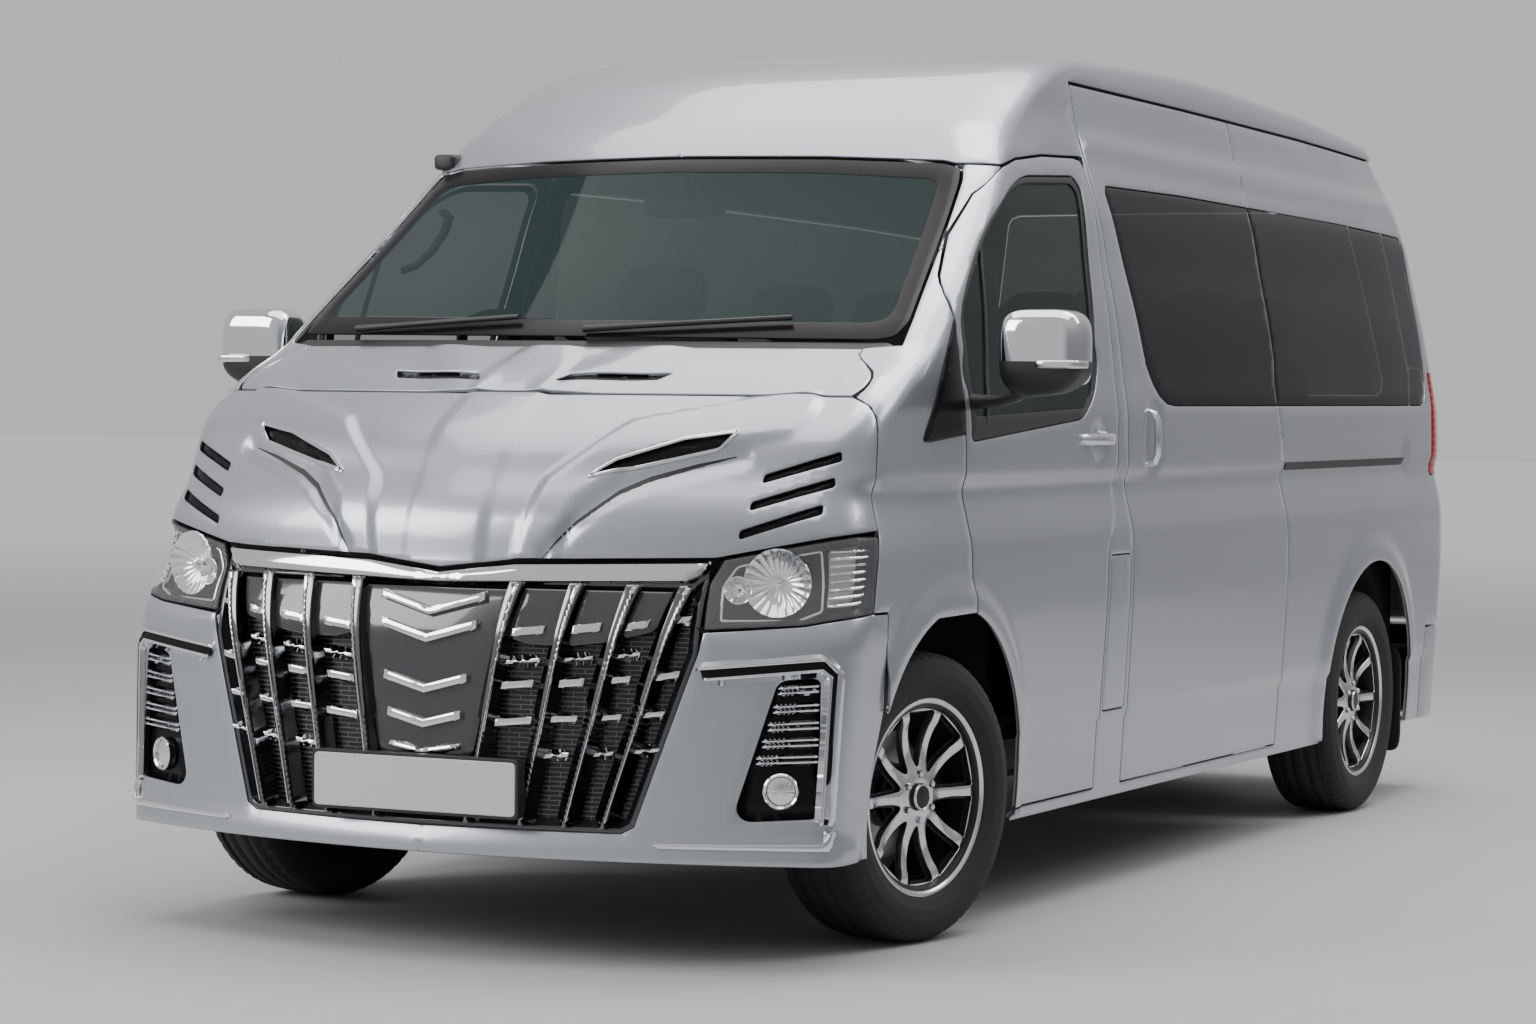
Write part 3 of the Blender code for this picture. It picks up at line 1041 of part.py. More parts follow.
def bench(name, y, half):
    z = FLOOR_Z + SEAM
    pieces = [box("pedestal", (-0.50, y - 0.16, z), (0.50, y + 0.16, z + 0.30))]
    pieces.append(box("cushion", (-half, y - 0.24, z + 0.28), (half, y + 0.24, z + 0.42)))
    rest = box("rest", (-half, -0.05, 0), (half, 0.05, 0.62))
    rest.data.transform(Matrix.Translation((0, y + 0.22, z + 0.36)) @ Matrix.Rotation(radians(-12), 4, "X"))
    pieces.append(rest)
    for x in (-0.68 * half, 0.0, 0.68 * half):
        head = box("head", (x - 0.13, -0.04, 0), (x + 0.13, 0.04, 0.18))
        head.data.transform(Matrix.Translation((0, y + 0.345, z + 0.95)) @ Matrix.Rotation(radians(-10), 4, "X"))
        pieces.append(head)
    join(name, pieces, CLOTH)


def underbody():
    low = FRAME_TOP_Z - RAIL_HEIGHT
    block = box("block", (-0.27, -1.45, 0.235), (0.27, ENGINE_REAR_Y, 0.78))
    reach = RAIL_X - RAIL_WIDTH / 2 - SEAM
    mount = box("mount", (-reach, -1.30, low + 0.02), (reach, -1.18, low + 0.08))
    join("engine", [block, mount], IRON)
    box("fuel_tank", (-0.80, -0.30, 0.235), (-0.45, 0.75, FRAME_TOP_Z), 0.03, STEEL)
    pieces = [rod("pipe", (0.20, -0.70, 0.24), (0.20, 1.00, 0.24), 0.026, 10),
              rod("bend", (0.20, 0.98, 0.24), (0.46, 1.36, 0.24), 0.026, 10),
              rod("tail", (0.46, 1.33, 0.24), (0.46, 2.37, 0.24), 0.026, 10),
              rod("box", (0.20, 0.22, 0.24), (0.20, 0.80, 0.24), 0.075, 12),
              rod("hanger", (0.20, 0.15, 0.24), (0.20, 0.15, low + 0.02 - SEAM), 0.012, 8),
              box("strap", (0.410, 2.28, 0.235), (0.440, 2.32, low - SEAM))]
    join("exhaust", pieces, STEEL)
    spare = turned("spare_wheel", TYRE_PROFILE + [(0.03, 0.05), (0.03, 0.0), (-0.03, 0.0), (-0.03, 0.05)], Vector((0, 0, 0)), 14, RUBBER)
    spare.data.transform(Matrix.Translation(SPARE_CENTRE) @ Matrix.Rotation(pi / 2, 4, "Y"))


def mirrors():
    body = as_cutter(new_object("body_solid", skin_shell("body_solid", -SEAM, 0.10), BODY))
    for name, side in (("mirror_left", 1), ("mirror_right", -1)):
        x0, x1 = sorted((side * 0.985, side * 1.195))
        case = box("case", (x0, -1.50, 1.275), (x1, -1.36, 1.480), 0.03)
        x0, x1 = sorted((side * 0.88, side * 1.06))
        arm = box("arm", (x0, -1.42, 1.245), (x1, -1.38, 1.30))
        bake(boolean(arm, body, "DIFFERENCE"))
        join(name, [case, arm], CHROME)


def centre():
    """Moves every piece so that the origin lies under the middle of the length."""
    middle = (FRONT_END_Y + REAR_END_Y) / 2
    for obj in BODY.objects:
        obj.data.transform(Matrix.Translation((0, -middle, 0)))


body_shell()
openings()
front_end()
rear_end()
wheels()
knuckles()
front_axle()
rear_axle()
chassis()
floor()
cabin()
underbody()
mirrors()
centre()
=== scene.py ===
import bpy
import json
import numpy as np
from math import cos, pi, radians, sin
from mathutils import Matrix, Vector, geometry

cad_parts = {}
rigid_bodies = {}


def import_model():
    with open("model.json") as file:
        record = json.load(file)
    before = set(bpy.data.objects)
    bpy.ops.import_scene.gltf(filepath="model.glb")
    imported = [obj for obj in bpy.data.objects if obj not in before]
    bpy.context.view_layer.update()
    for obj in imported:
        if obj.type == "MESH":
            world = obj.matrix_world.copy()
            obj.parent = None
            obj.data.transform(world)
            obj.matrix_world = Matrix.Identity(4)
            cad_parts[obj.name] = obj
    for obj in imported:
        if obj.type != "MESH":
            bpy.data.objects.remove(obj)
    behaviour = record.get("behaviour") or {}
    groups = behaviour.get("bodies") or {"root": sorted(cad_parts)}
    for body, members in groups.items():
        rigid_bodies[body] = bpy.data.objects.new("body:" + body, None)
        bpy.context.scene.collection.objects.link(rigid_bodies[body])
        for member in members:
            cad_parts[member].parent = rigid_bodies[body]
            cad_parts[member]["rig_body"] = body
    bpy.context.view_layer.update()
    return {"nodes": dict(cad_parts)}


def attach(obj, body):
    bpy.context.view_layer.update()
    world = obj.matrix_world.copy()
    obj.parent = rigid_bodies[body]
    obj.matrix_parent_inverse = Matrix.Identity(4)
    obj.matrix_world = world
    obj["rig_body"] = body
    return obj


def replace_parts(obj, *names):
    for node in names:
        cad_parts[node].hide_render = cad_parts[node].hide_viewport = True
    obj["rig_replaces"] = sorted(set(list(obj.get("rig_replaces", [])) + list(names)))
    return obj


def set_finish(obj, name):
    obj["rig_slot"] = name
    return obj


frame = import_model()

# the numbers below are measured this far ahead of the frame's own middle
lengthShift = 0.0275

# the camera comes first
camera = bpy.data.objects.new("camera", bpy.data.cameras.new("camera"))
bpy.context.scene.collection.objects.link(camera)
bpy.context.scene.camera = camera
view = {"place": (4.5249, -9.8538 - lengthShift, 1.2971), "turn": 0.458338, "drop": 0.0330269,
    "roll": 0.0102765, "lens": 90.63}


def aimCamera():
    drop, turn = view["drop"], view["turn"]
    forward = Vector((-sin(turn) * cos(drop), cos(turn) * cos(drop), -sin(drop)))
    side = forward.cross(Vector((0, 0, 1))).normalized()
    up = side.cross(forward)
    right = side * cos(view["roll"]) + up * sin(view["roll"])
    up = right.cross(forward)
    basis = Matrix((right, up, -forward)).transposed().to_4x4()
    camera.matrix_world = Matrix.Translation(view["place"]) @ basis
    camera.data.sensor_width = 36
    camera.data.lens = view["lens"]
    camera.data.clip_end = 100


aimCamera()


# materials: a socket that takes part in sums, and a small maker of shader nodes
class Wire:
    def __init__(self, tree, socket):
        self.tree, self.socket = tree, socket

    def calc(self, kind, *others, turned=False):
        ends = [self, *others]
        if turned:
            ends.reverse()
        vector = any((isinstance(e, tuple) or (isinstance(e, Wire) and e.socket.type == "VECTOR")
            for e in ends))
        made = self.tree.nodes.new("ShaderNodeVectorMath" if vector else "ShaderNodeMath")
        made.operation = kind
        for slot, end in zip(made.inputs, ends):
            plug(self.tree, slot, end)
        return Wire(self.tree, made.outputs[0])

    def __add__(self, other):
        return self.calc("ADD", other)

    def __sub__(self, other):
        return self.calc("SUBTRACT", other)

    def __rsub__(self, other):
        return self.calc("SUBTRACT", other, turned=True)

    def __mul__(self, other):
        return self.calc("MULTIPLY", other)

    def __truediv__(self, other):
        return self.calc("DIVIDE", other)

    def __pow__(self, other):
        return self.calc("POWER", other)
    __radd__ = __add__
    __rmul__ = __mul__

    def clipped(self, low, high):
        return self.calc("MAXIMUM", low).calc("MINIMUM", high)


def plug(tree, slot, end):
    if isinstance(end, Wire):
        tree.links.new(end.socket, slot)
    elif slot.type == "RGBA" and len(end) == 3:
        slot.default_value = (*end, 1)
    elif slot.type == "VECTOR" and (not isinstance(end, tuple)):
        slot.default_value = (end, end, end)
    else:
        slot.default_value = end


class Shade:
    def __init__(self, name, colour, roughness, metallic=0.0, **more):
        self.name, self.material = name, bpy.data.materials.new(name)
        self.material.use_nodes = True
        self.tree = self.material.node_tree
        self.shader = self.tree.nodes["Principled BSDF"]
        self.colour = colour
        values = {"Base Color": colour, "Roughness": roughness, "Metallic": metallic, **more}
        for key, value in values.items():
            plug(self.tree, self.shader.inputs[key], value)

    def node(self, kind, settings=None, output=0, **inputs):
        made = self.tree.nodes.new("ShaderNode" + kind)
        for key, value in (settings or {}).items():
            setattr(made, key, value)
        for key, value in inputs.items():
            plug(self.tree, made.inputs[int(key[1:]) if key[1:].isdigit() else key], value)
        return Wire(self.tree, made.outputs[output])

    def spot(self):
        return self.node("TexCoord", output=3)

    def part(self, axis):
        return self.node("SeparateXYZ", output="XYZ".index(axis), Vector=self.spot())

    def noise(self, scale, detail=2.0, stretch=(1.0, 1.0, 1.0)):
        return self.node("TexNoise", Vector=self.spot() * stretch, Scale=scale, Detail=detail)

    def mix(self, factor, first, second):
        made = self.tree.nodes.new("ShaderNodeMix")
        made.data_type = "RGBA"
        plug(self.tree, made.inputs[0], factor)
        plug(self.tree, made.inputs[6], first)
        plug(self.tree, made.inputs[7], second)
        return Wire(self.tree, made.outputs[2])

    def put(self, **wires):
        for key, wire in wires.items():
            plug(self.tree, self.shader.inputs[key.replace("_", " ")], wire)
        return self

    def bump(self, height, strength, distance):
        return self.put(Normal=self.node("Bump", Height=height, Strength=strength, Distance=distance))

    # colour wavers by a share of itself with noise, and roughness by a few hundredths
    def vary(self, share, scale, rough=0.04, stretch=(1.0, 1.0, 1.0)):
        grain = self.noise(scale, 3.0, stretch)
        dark = tuple(c * (1 - share) for c in self.colour[:3])
        light = tuple(min(1.0, c * (1 + share)) for c in self.colour[:3])
        base = self.shader.inputs["Roughness"].default_value
        return (self.put(Base_Color=self.mix(grain, dark, light), Roughness=grain * (2 * rough)
            + (base - rough)))


studioLight, studioShade = (0.6, 0.6, 0.61), (0.24, 0.242, 0.25)


def makeMaterials():
    found = {}

    def keep(shade):
        found[shade.name] = shade.material
        return shade

    # each with its colour, roughness, metal, other inputs, how it wavers, and the grain that its bump reads
    for name, colour, rough, metal, more, wave, grain in (
            ("paint", (0.41, 0.428, 0.468), 0.3, 0.76, {"Coat Weight": 1.0, "Coat Roughness": 0.05},
             (0.03, 900, 0.02), ()),
            ("chrome", (0.8, 0.81, 0.83), 0.07, 1.0, {}, (0.03, 6, 0.02), ()),
            ("darkChrome", (0.2, 0.205, 0.21), 0.14, 1.0, {}, (0.1, 8, 0.03), ()),
            ("smoke", (0.055, 0.058, 0.062), 0.16, 0.4, {"Coat Weight": 0.8}, (0.12, 5, 0.02), ()),
            ("gloss", (0.008, 0.008, 0.009), 0.22, 0.0, {"Specular IOR Level": 0.14}, (0.2, 12, 0.03), ()),
            ("satin", (0.018, 0.018, 0.019), 0.45, 0.0, {}, (0.15, 30, 0.06), (700, 2, 0.15, 0.0004)),
            ("trim", (0.13, 0.13, 0.135), 0.55, 0.0, {}, (0.08, 20, 0.05), (500, 2, 0.25, 0.0006)),
            ("lining", (0.42, 0.41, 0.39), 0.8, 0.0, {}, (0.05, 40, 0.04), (300, 2, 0.2, 0.0006)),
            ("under", (0.035, 0.035, 0.037), 0.6, 0.2, {}, (0.25, 9, 0.1), (120, 3, 0.2, 0.001)),
            ("iron", (0.16, 0.155, 0.15), 0.55, 0.7, {}, (0.2, 25, 0.1), (260, 3, 0.3, 0.0008)),
            ("disc", (0.45, 0.45, 0.46), 0.3, 1.0, {}, (0.1, 60, 0.06), (200, 2, 0.1, 0.0003)),
            ("alloy", (0.72, 0.73, 0.745), 0.2, 1.0, {}, (0.05, 350, 0.05), (500, 1, 0.05, 0.0002)),
            ("pocket", (0.03, 0.031, 0.033), 0.35, 0.6, {}, (0.15, 30, 0.05), ()),
            ("tyre", (0.018, 0.018, 0.0185), 0.78, 0.0, {}, (0.25, 14, 0.08), (400, 2, 0.3, 0.0006)),
            ("plate", (0.6, 0.59, 0.56), 0.35, 0.0, {"Coat Weight": 0.3}, (0.02, 7, 0.03),
             (60, 1, 0.05, 0.0003)),
            ("bowl", (0.8, 0.81, 0.82), 0.12, 1.0, {}, (0.06, 25, 0.03), ()),
            ("amber", (0.5, 0.46, 0.43), 0.2, 0.0, {}, (0.1, 40, 0.03), ())):
        shade = keep(Shade(name, colour, rough, metal, **more)).vary(*wave)
        if grain:
            shade.bump(shade.noise(*grain[:2]), *grain[2:])
    cloth = keep(Shade("cloth", (0.1, 0.1, 0.105), 0.92, **{"Sheen Weight": 0.3})).vary(0.2, 220.0, 0.05)
    weave = cloth.node("TexVoronoi", Vector=cloth.spot(), Scale=420.0)
    cloth.bump(weave, 0.25, 0.0005)
    # the grille's back: near-black slats with thin light lines along their edges; the lines are a painted
    # highlight of the lit slat edges, and the bump raises the same lines
    slats = keep(Shade("slats", (0.012, 0.012, 0.013), 0.35))
    spot = slats.node("CombineXYZ", X=slats.part("X"), Y=slats.part("Z"))
    lines = slats.node("TexBrick", {"offset": 0.5}, output=1, Vector=spot, Scale=1.0,
        **{"Mortar Size": 0.0012, "Brick Width": 0.05, "Row Height": 0.0105})
    slats.put(Base_Color=slats.mix(lines, (0.01, 0.01, 0.011), (0.16, 0.163, 0.168)))
    slats.bump(lines * 1.0, 0.6, 0.003)
    # the floor's colour gives way to the backdrop's light with distance, so that no horizon shows
    floorShade = keep(Shade("floor", (0.42, 0.422, 0.426), 0.6, **{"Specular IOR Level": 0.1,
        "Emission Strength": 1.0}))
    across, along = floorShade.part("X"), floorShade.part("Y")
    far = (((across * across + along * along)**0.5 - 5.0) * 0.06).clipped(0.0, 1.0)
    near = floorShade.mix(floorShade.noise(0.8, 2.0), (0.46, 0.462, 0.466), (0.49, 0.492, 0.496))
    shade = (across / (across * across + along * along + 0.01)**0.5 * 2.6).clipped(0.0, 1.0)
    floorShade.put(Base_Color=floorShade.mix(far, near, (0.0, 0.0, 0.0)),
        Emission_Color=floorShade.mix(far, (0.0, 0.0, 0.0), floorShade.mix(shade, studioLight, studioShade)))
    red = keep(Shade("red", (0.42, 0.01, 0.012), 0.12, 0.0, **{"Coat Weight": 1.0}))
    ribs = red.part("Z") * 260.0
    red.put(Base_Color=red.mix(ribs.calc("SINE") * 0.5 + 0.5, (0.3, 0.006, 0.008), (0.55, 0.018, 0.02)))
    for name, colour, see, shine in (
            ("screen", (0.014, 0.027, 0.026), 0.82, 0.08), ("doorGlass", (0.034, 0.045, 0.041), 0.6, 0.2),
            ("privacy", (0.01, 0.0105, 0.012), 0.92, 0.14), ("lens", (0.8, 0.82, 0.84), 0.12, 0.5)):
        glass = keep(Shade(name, colour, 0.03, 0.0, Alpha=see, **{"Specular IOR Level": shine}))
        wave = glass.noise(1.3, 1.0)
        glass.put(Alpha=(wave * 0.1 + (see - 0.05)).clipped(0.0, 1.0))
    return found


materials = makeMaterials()
print("materials made", len(materials))


# rows of numbers in millimetres, as points in metres
def mm(*numbers, size=2):
    return [tuple(n / 1000 for n in numbers[k:k + size]) for k in range(0, len(numbers), size)]


# the skin's tables, each height then value
sideInset = mm(235, 27, 495, 13, 652, 5, 776, 0, 912, 2.5, 991, 18, 1050, 30, 1094, 19, 1218, 21, 1337, 37,
    1485, 58, 1621, 85, 1750, 109, 1877, 147, 1935, 167, 2060, 196, 2146, 215.5)
noseLine = mm(235, -2430, 450, -2420, 720, -2405, 800, -2385, 877, -2353, 973, -2336, 1094, -2265,
    1180, -2205, 1272, -2058, 1310, -1990, 1384, -1840, 1409, -1808, 1865, -1217, 1950, -1130, 2030, -1000,
    2080, -900, 2120, -780, 2146, -660)
bowLine = mm(235, 235, 1094, 240, 1310, 175, 1400, 200, 1865, 220, 2050, 220, 2146, 260)
cornerLine = mm(235, 50, 80, 700, 55, 90, 860, 110, 180, 1060, 110, 180, 1272, 60, 140, 1400, 65, 140,
    1865, 75, 150, 2146, 180, 260, size=3)
tailLine = mm(235, 2470, 1000, 2480, 1360, 2450, 1800, 2375, 2000, 2325, 2146, 2235)
roofArch = mm(-1200, -45, -850, -20, -520, 6, 450, 25, 1400, -10, 2170, -64, 2400, -80)
frontTaper = mm(780, -12, 1000, 6, 1200, 22)
roofCrown, gutter = 0.042, 2.146


# a monotone cubic through the table: (2t3-3t2+1)a + (t3-2t2+t)hm + (3t2-2t3)b + (t3-t2)hn
def curve(table, at, column=1):
    rows = np.array(table, float)
    x, y = rows[:, 0], rows[:, column]
    h = np.diff(x)
    d = np.diff(y) / h
    m = np.concatenate([d[:1], np.zeros(len(d) - 1), d[-1:]])
    same = d[:-1] * d[1:] > 0
    w1, w2 = 2 * h[1:] + h[:-1], h[1:] + 2 * h[:-1]
    before, after = np.where(same, d[:-1], 1.0), np.where(same, d[1:], 1.0)
    m[1:-1] = np.where(same, (w1 + w2) / (w1 / before + w2 / after), 0.0)
    at = np.clip(np.asarray(at, float), x[0], x[-1])
    k = np.clip(np.searchsorted(x, at, "right") - 1, 0, len(x) - 2)
    t = (at - x[k]) / h[k]
    return ((2 * t**3 - 3 * t**2 + 1) * y[k] + (t**3 - 2 * t**2 + t) * h[k] * m[k]
        + (3 * t**2 - 2 * t**3) * y[k + 1] + (t**3 - t**2) * h[k] * m[k + 1])


def step(x):
    x = np.clip(x, 0, 1)
    return x * x * (3 - 2 * x)


# one between low and high, with soft ends
def band(x, low, high, soft):
    return step((x - low) / soft) * step((high - x) / soft)


# half the width: the widest line less the inset of this height, the nose's draw and the tail's
def halfWidth(z, y):
    front, rear = np.maximum(0, (-1.25 - y) / 0.85), np.maximum(0, (y - 1.6) / 0.8)
    return 0.94 - curve(sideInset, z) - curve(frontTaper, z) * front**2 - 0.012 * rear**2


def bezier(a, b, c, d, t):
    return (1 - t)**3 * a + 3 * (1 - t)**2 * t * b + 3 * (1 - t) * t**2 * c + t**3 * d


skinCuts = [0.0, 0.86, 1.03, 5.48, 5.64, 6.44]
skinCounts = [44, 18, 130, 12, 14]


# the plan line at each height: y = nose + bow x2 in front, a cubic round each corner, the half width beside
def planRows(z):
    z = np.asarray(z, float)[:, None]
    nose, bow, tail = curve(noseLine, z), curve(bowLine, z), curve(tailLine, z)
    run = curve(cornerLine, z, 2)
    x0 = halfWidth(z, -2.1) - curve(cornerLine, z, 1)
    y0 = nose + bow * x0**2
    y1 = y0 + run
    x1 = halfWidth(z, y1)
    reach = x1 - x0
    y2 = tail - 0.11
    x2 = halfWidth(z, y2)
    x3 = x2 - 0.11
    f, t, g, r, b = [np.linspace(0, 1, n + 1)[None, 0 if k == 0 else 1:] for k, n in enumerate(skinCounts)]
    sideY = y1 + g * (y2 - y1)
    xs = [f * x0, bezier(x0, x0 + 0.6 * reach, x1, x1, t), halfWidth(z, sideY),
        bezier(x2, x2, x3 + 0.6 * (x2 - x3), x3, r), x3 * (1 - b)]
    ys = [nose + bow * (f * x0)**2, bezier(y0, y0 + np.minimum(1.2 * reach * bow * x0, 0.4 * run),
        y1 - 0.6 * run, y1, t), sideY, bezier(y2, y2 + 0.6 * (tail - y2), tail, tail, r),
        tail + 0.015 * (1 - (1 - b)**2)]
    return np.hstack(xs), np.hstack(ys)


# the skin as one grid: plan rows up the side, then rows that shrink towards the roof's middle, the
# shoulder rounded by a quadratic B-spline, and the whole lifted by the roof's arch
def makeSkin():
    columns = np.concatenate([[0.0]] + [np.linspace(a, b, n + 1)[1:] for a, b,
        n in zip(skinCuts[:-1], skinCuts[1:], skinCounts)])
    low = np.arange(0.235, 2.021, 0.017)
    x, y = planRows(low)
    rows = [np.dstack([x, y, np.repeat(low[:, None], x.shape[1], 1)])]
    heights = np.array([2.02, 2.06, 2.1, 2.135, gutter])
    x, y = planRows(heights)
    control = [np.column_stack([x[k], y[k], np.full(x.shape[1], heights[k])]) for k in range(5)]
    edge = control[-1]
    for s in (0.05, 0.14, 0.3, 0.5, 0.75, 1.0, 1.0):
        ring = edge.copy()
        ring[:, 0] *= 1 - s
        ring[:, 1] = 0.8 + (ring[:, 1] - 0.8) * (1 - 0.22 * s)
        ring[:, 2] += roofCrown * (1 - (1 - s)**2.4)
        control.append(ring)
    control = np.array(control)
    t = np.linspace(0, 1, 6)[:-1, None, None]
    for k in range(len(control) - 2):
        a, b, c = control[k], control[k + 1], control[k + 2]
        rows.append((1 - t)**2 / 2 * a + (0.5 + t - t * t) * b + t * t / 2 * c)
    rows.append(control[-1][None])
    grid = np.concatenate(rows)
    count = len(grid) - len(low)
    levels = np.concatenate([low, 2.04 + np.arange(count) * 0.01])
    share = step((grid[..., 2] - 1.86) / 0.25)
    grid[..., 2] += curve(roofArch, grid[..., 1]) * share
    return grid, columns, levels


skin, skinColumns, skinLevels = makeSkin()
roofTopLevel = float(skinLevels[-1])
rearMiddle = skinCuts[-1]


# the point of the skin at (u, v), by shares of the four grid points round it; a negative u is the right
# side, and so is a u past the middle of the rear
def surfaceAt(u, v):
    past = np.abs(u) > rearMiddle
    right = (u < 0) ^ past
    a = np.interp(np.where(past, 2 * rearMiddle - np.abs(u), np.abs(u)), skinColumns,
        np.arange(len(skinColumns)))
    b = np.interp(v, skinLevels, np.arange(len(skinLevels)))
    i, j = np.minimum(a.astype(int), len(skinColumns) - 2), np.minimum(b.astype(int), len(skinLevels) - 2)
    f, g = (a - i)[:, None], (b - j)[:, None]
    low = skin[j, i] * (1 - f) + skin[j, i + 1] * f
    high = skin[j + 1, i] * (1 - f) + skin[j + 1, i + 1] * f
    return (low * (1 - g) + high * g) * np.column_stack([np.where(right, -1.0, 1.0), np.ones_like(u),
        np.ones_like(u)])


# the outward direction: the cross product of the steps along u and along v
def normalAt(u, v, e=0.006):
    along = surfaceAt(u + e, v) - surfaceAt(u - e, v)
    up = surfaceAt(u, np.minimum(v + e, roofTopLevel - 0.0001)) - surfaceAt(u, np.maximum(v - e, 0.235))
    n = np.cross(along, up)
    length = np.linalg.norm(n, axis=1)[:, None]
    return np.where(length > 1e-12, n / np.maximum(length, 1e-12), (0, 0, 1))


# where a point seen from the side (y, z), front (x, z) or rear (x, z) lies on the skin
def locate(viewName, a, z):
    v = z
    middle = skinCounts[0] + skinCounts[1] + skinCounts[2] // 4
    for _ in range(5):
        b = float(np.interp(v, skinLevels, np.arange(len(skinLevels))))
        j = min(int(b), len(skinLevels) - 2)
        row = skin[j] * (1 - b + j) + skin[j + 1] * (b - j)
        if viewName == "side":
            u = float(np.interp(a, row[:, 1], skinColumns))
        elif viewName == "front":
            last = int(np.argmax(row[:middle, 0])) + 1
            u = float(np.interp(abs(a), row[:last, 0], skinColumns[:last]))
        else:
            first = sum(skinCounts[:3])
            u = float(np.interp(-abs(a), -row[first:, 0], skinColumns[first:]))
        v += z - float(surfaceAt(np.array([u]), np.array([v]))[0, 2])
    if a < 0 and viewName == "front":
        u = -u
    if a < 0 and viewName == "rear":
        u = 2 * rearMiddle - u
    return u, v


# an outline with each corner replaced by a short parabola
def rounded(outline, radius):
    if not radius:
        return [tuple(p) for p in outline]
    out = []
    count = len(outline)
    for k, p in enumerate(outline):
        before, after = np.array(outline[k - 1][:2]), np.array(outline[(k + 1) % count][:2])
        own = radius if len(p) < 3 else p[2]
        p = np.array(p[:2])
        if own <= 0:
            out.append(tuple(p))
            continue
        a, b = before - p, after - p
        la, lb = np.linalg.norm(a), np.linalg.norm(b)
        a, b = p + a * min(own, 0.48 * la) / la, p + b * min(own, 0.48 * lb) / lb
        for t in np.linspace(0, 1, 6):
            out.append(tuple((1 - t)**2 * a + 2 * (1 - t) * t * p + t * t * b))
    return out


def divided(points, most):
    out = []
    for a, b in zip(points, points[1:] + points[:1]):
        a, b = np.array(a, float), np.array(b, float)
        n = max(1, int(np.ceil(np.linalg.norm(b - a) / most)))
        out += [tuple(a + (b - a) * k / n) for k in range(n)]
    return out


def onSkin(viewName, outline, radius=0.0, most=0.03):
    return np.array([locate(viewName, a, z) for a, z in divided(rounded(outline, radius), most)])


# a loop made of open lines that each name their view
def mixed(*parts, most=0.03):
    out = []
    for viewName, line in parts:
        line = [p[:2] for p in line]
        for a, b in zip(line, line[1:]):
            a, b = np.array(a, float), np.array(b, float)
            n = max(1, int(np.ceil(np.linalg.norm(b - a) / most)))
            out += [locate(viewName, *a + (b - a) * k / n) for k in range(n)]
        out.append(locate(viewName, *line[-1]))
    return np.array(out)


def offsetLoop(loop, by):
    before, after = loop - np.roll(loop, 1, axis=0), np.roll(loop, -1, axis=0) - loop
    area = np.sum(loop[:, 0] * np.roll(loop[:, 1], -1) - loop[:, 1] * np.roll(loop[:, 0], -1))
    sign = 1.0 if area > 0 else -1.0
    n = [sign * np.column_stack([e[:, 1], -e[:, 0]]) / np.maximum(np.linalg.norm(e, axis=1), 1e-09)[:, None]
        for e in (before, after)]
    scale = 1 + np.sum(n[0] * n[1], axis=1)[:, None]
    return loop + by * (n[0] + n[1]) / np.maximum(scale, 0.5)


# how far each point is from the loops, less the edges that a mirrored half joins, and whether it lies
# inside them by the even and odd rule
def loopField(points, loops):
    nearest = np.full(len(points), 9.0)
    crossings = np.zeros(len(points), int)
    for loop in loops:
        for a, b in zip(loop, np.roll(loop, -1, axis=0)):
            d = b - a
            joined = any((max(abs(a[k] - at), abs(b[k] - at)) < 1e-07 for k,
                at in ((0, 0.0), (0, rearMiddle), (1, roofTopLevel))))
            if not joined:
                t = np.clip((points - a) @ d / max(d @ d, 1e-12), 0, 1)
                nearest = np.minimum(nearest, np.hypot(*(points - a - t[:, None] * d).T))
            over = (a[1] > points[:, 1]) != (b[1] > points[:, 1])
            if over.any():
                crossing = a[0] + (points[:, 1] - a[1]) / (d[1] if d[1] else 1e-12) * d[0]
                crossings += over & (points[:, 0] < crossing)
    return nearest, crossings % 2 == 1


# a mesh from the measured numbers, smooth but for the edges that turn more than the angle
def makeMesh(verts, faces, angle=32, shift=lengthShift):
    mesh = bpy.data.meshes.new("mesh")
    verts = np.array(verts, float)
    verts[:, 1] -= shift
    mesh.from_pydata(verts.tolist(), [], faces if isinstance(faces, list) else faces.tolist())
    mesh.polygons.foreach_set("use_smooth", np.ones(len(mesh.polygons), bool))
    mesh.set_sharp_from_angle(angle=radians(angle))
    return mesh


def addPiece(name, mesh, body, mats, slot="paint", thick=0.0, replaces=""):
    mesh.name = name
    obj = bpy.data.objects.new(name, mesh)
    bpy.context.scene.collection.objects.link(obj)
    for m in mats.split():
        mesh.materials.append(materials[m])
    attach(obj, body)
    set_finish(obj, slot)
    if replaces:
        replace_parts(obj, *replaces.split())
    if thick:
        solid = obj.modifiers.new("thick", "SOLIDIFY")
        solid.thickness, solid.offset, solid.material_offset = thick, -1, len(mats.split()) - 1
    return obj


# the right twin of a left piece, with its names and its body's turned from left to right
def mirrored(obj, name=None, replaces=""):
    mesh = obj.data.copy()
    mesh.transform(Matrix.Diagonal((-1, 1, 1, 1)))
    mesh.flip_normals()
    made = bpy.data.objects.new(name or obj.name.replace("left", "right"), mesh)
    bpy.context.scene.collection.objects.link(made)
    for m in obj.modifiers:
        copy = made.modifiers.new(m.name, m.type)
        for key in ("thickness", "offset", "material_offset"):
            setattr(copy, key, getattr(m, key))
    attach(made, obj["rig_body"].replace("left", "right"))
    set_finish(made, obj["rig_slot"])
    replaces = replaces.split() or [node.replace("left", "right") for node in obj.get("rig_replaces", [])]
    if replaces:
        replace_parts(made, *replaces)


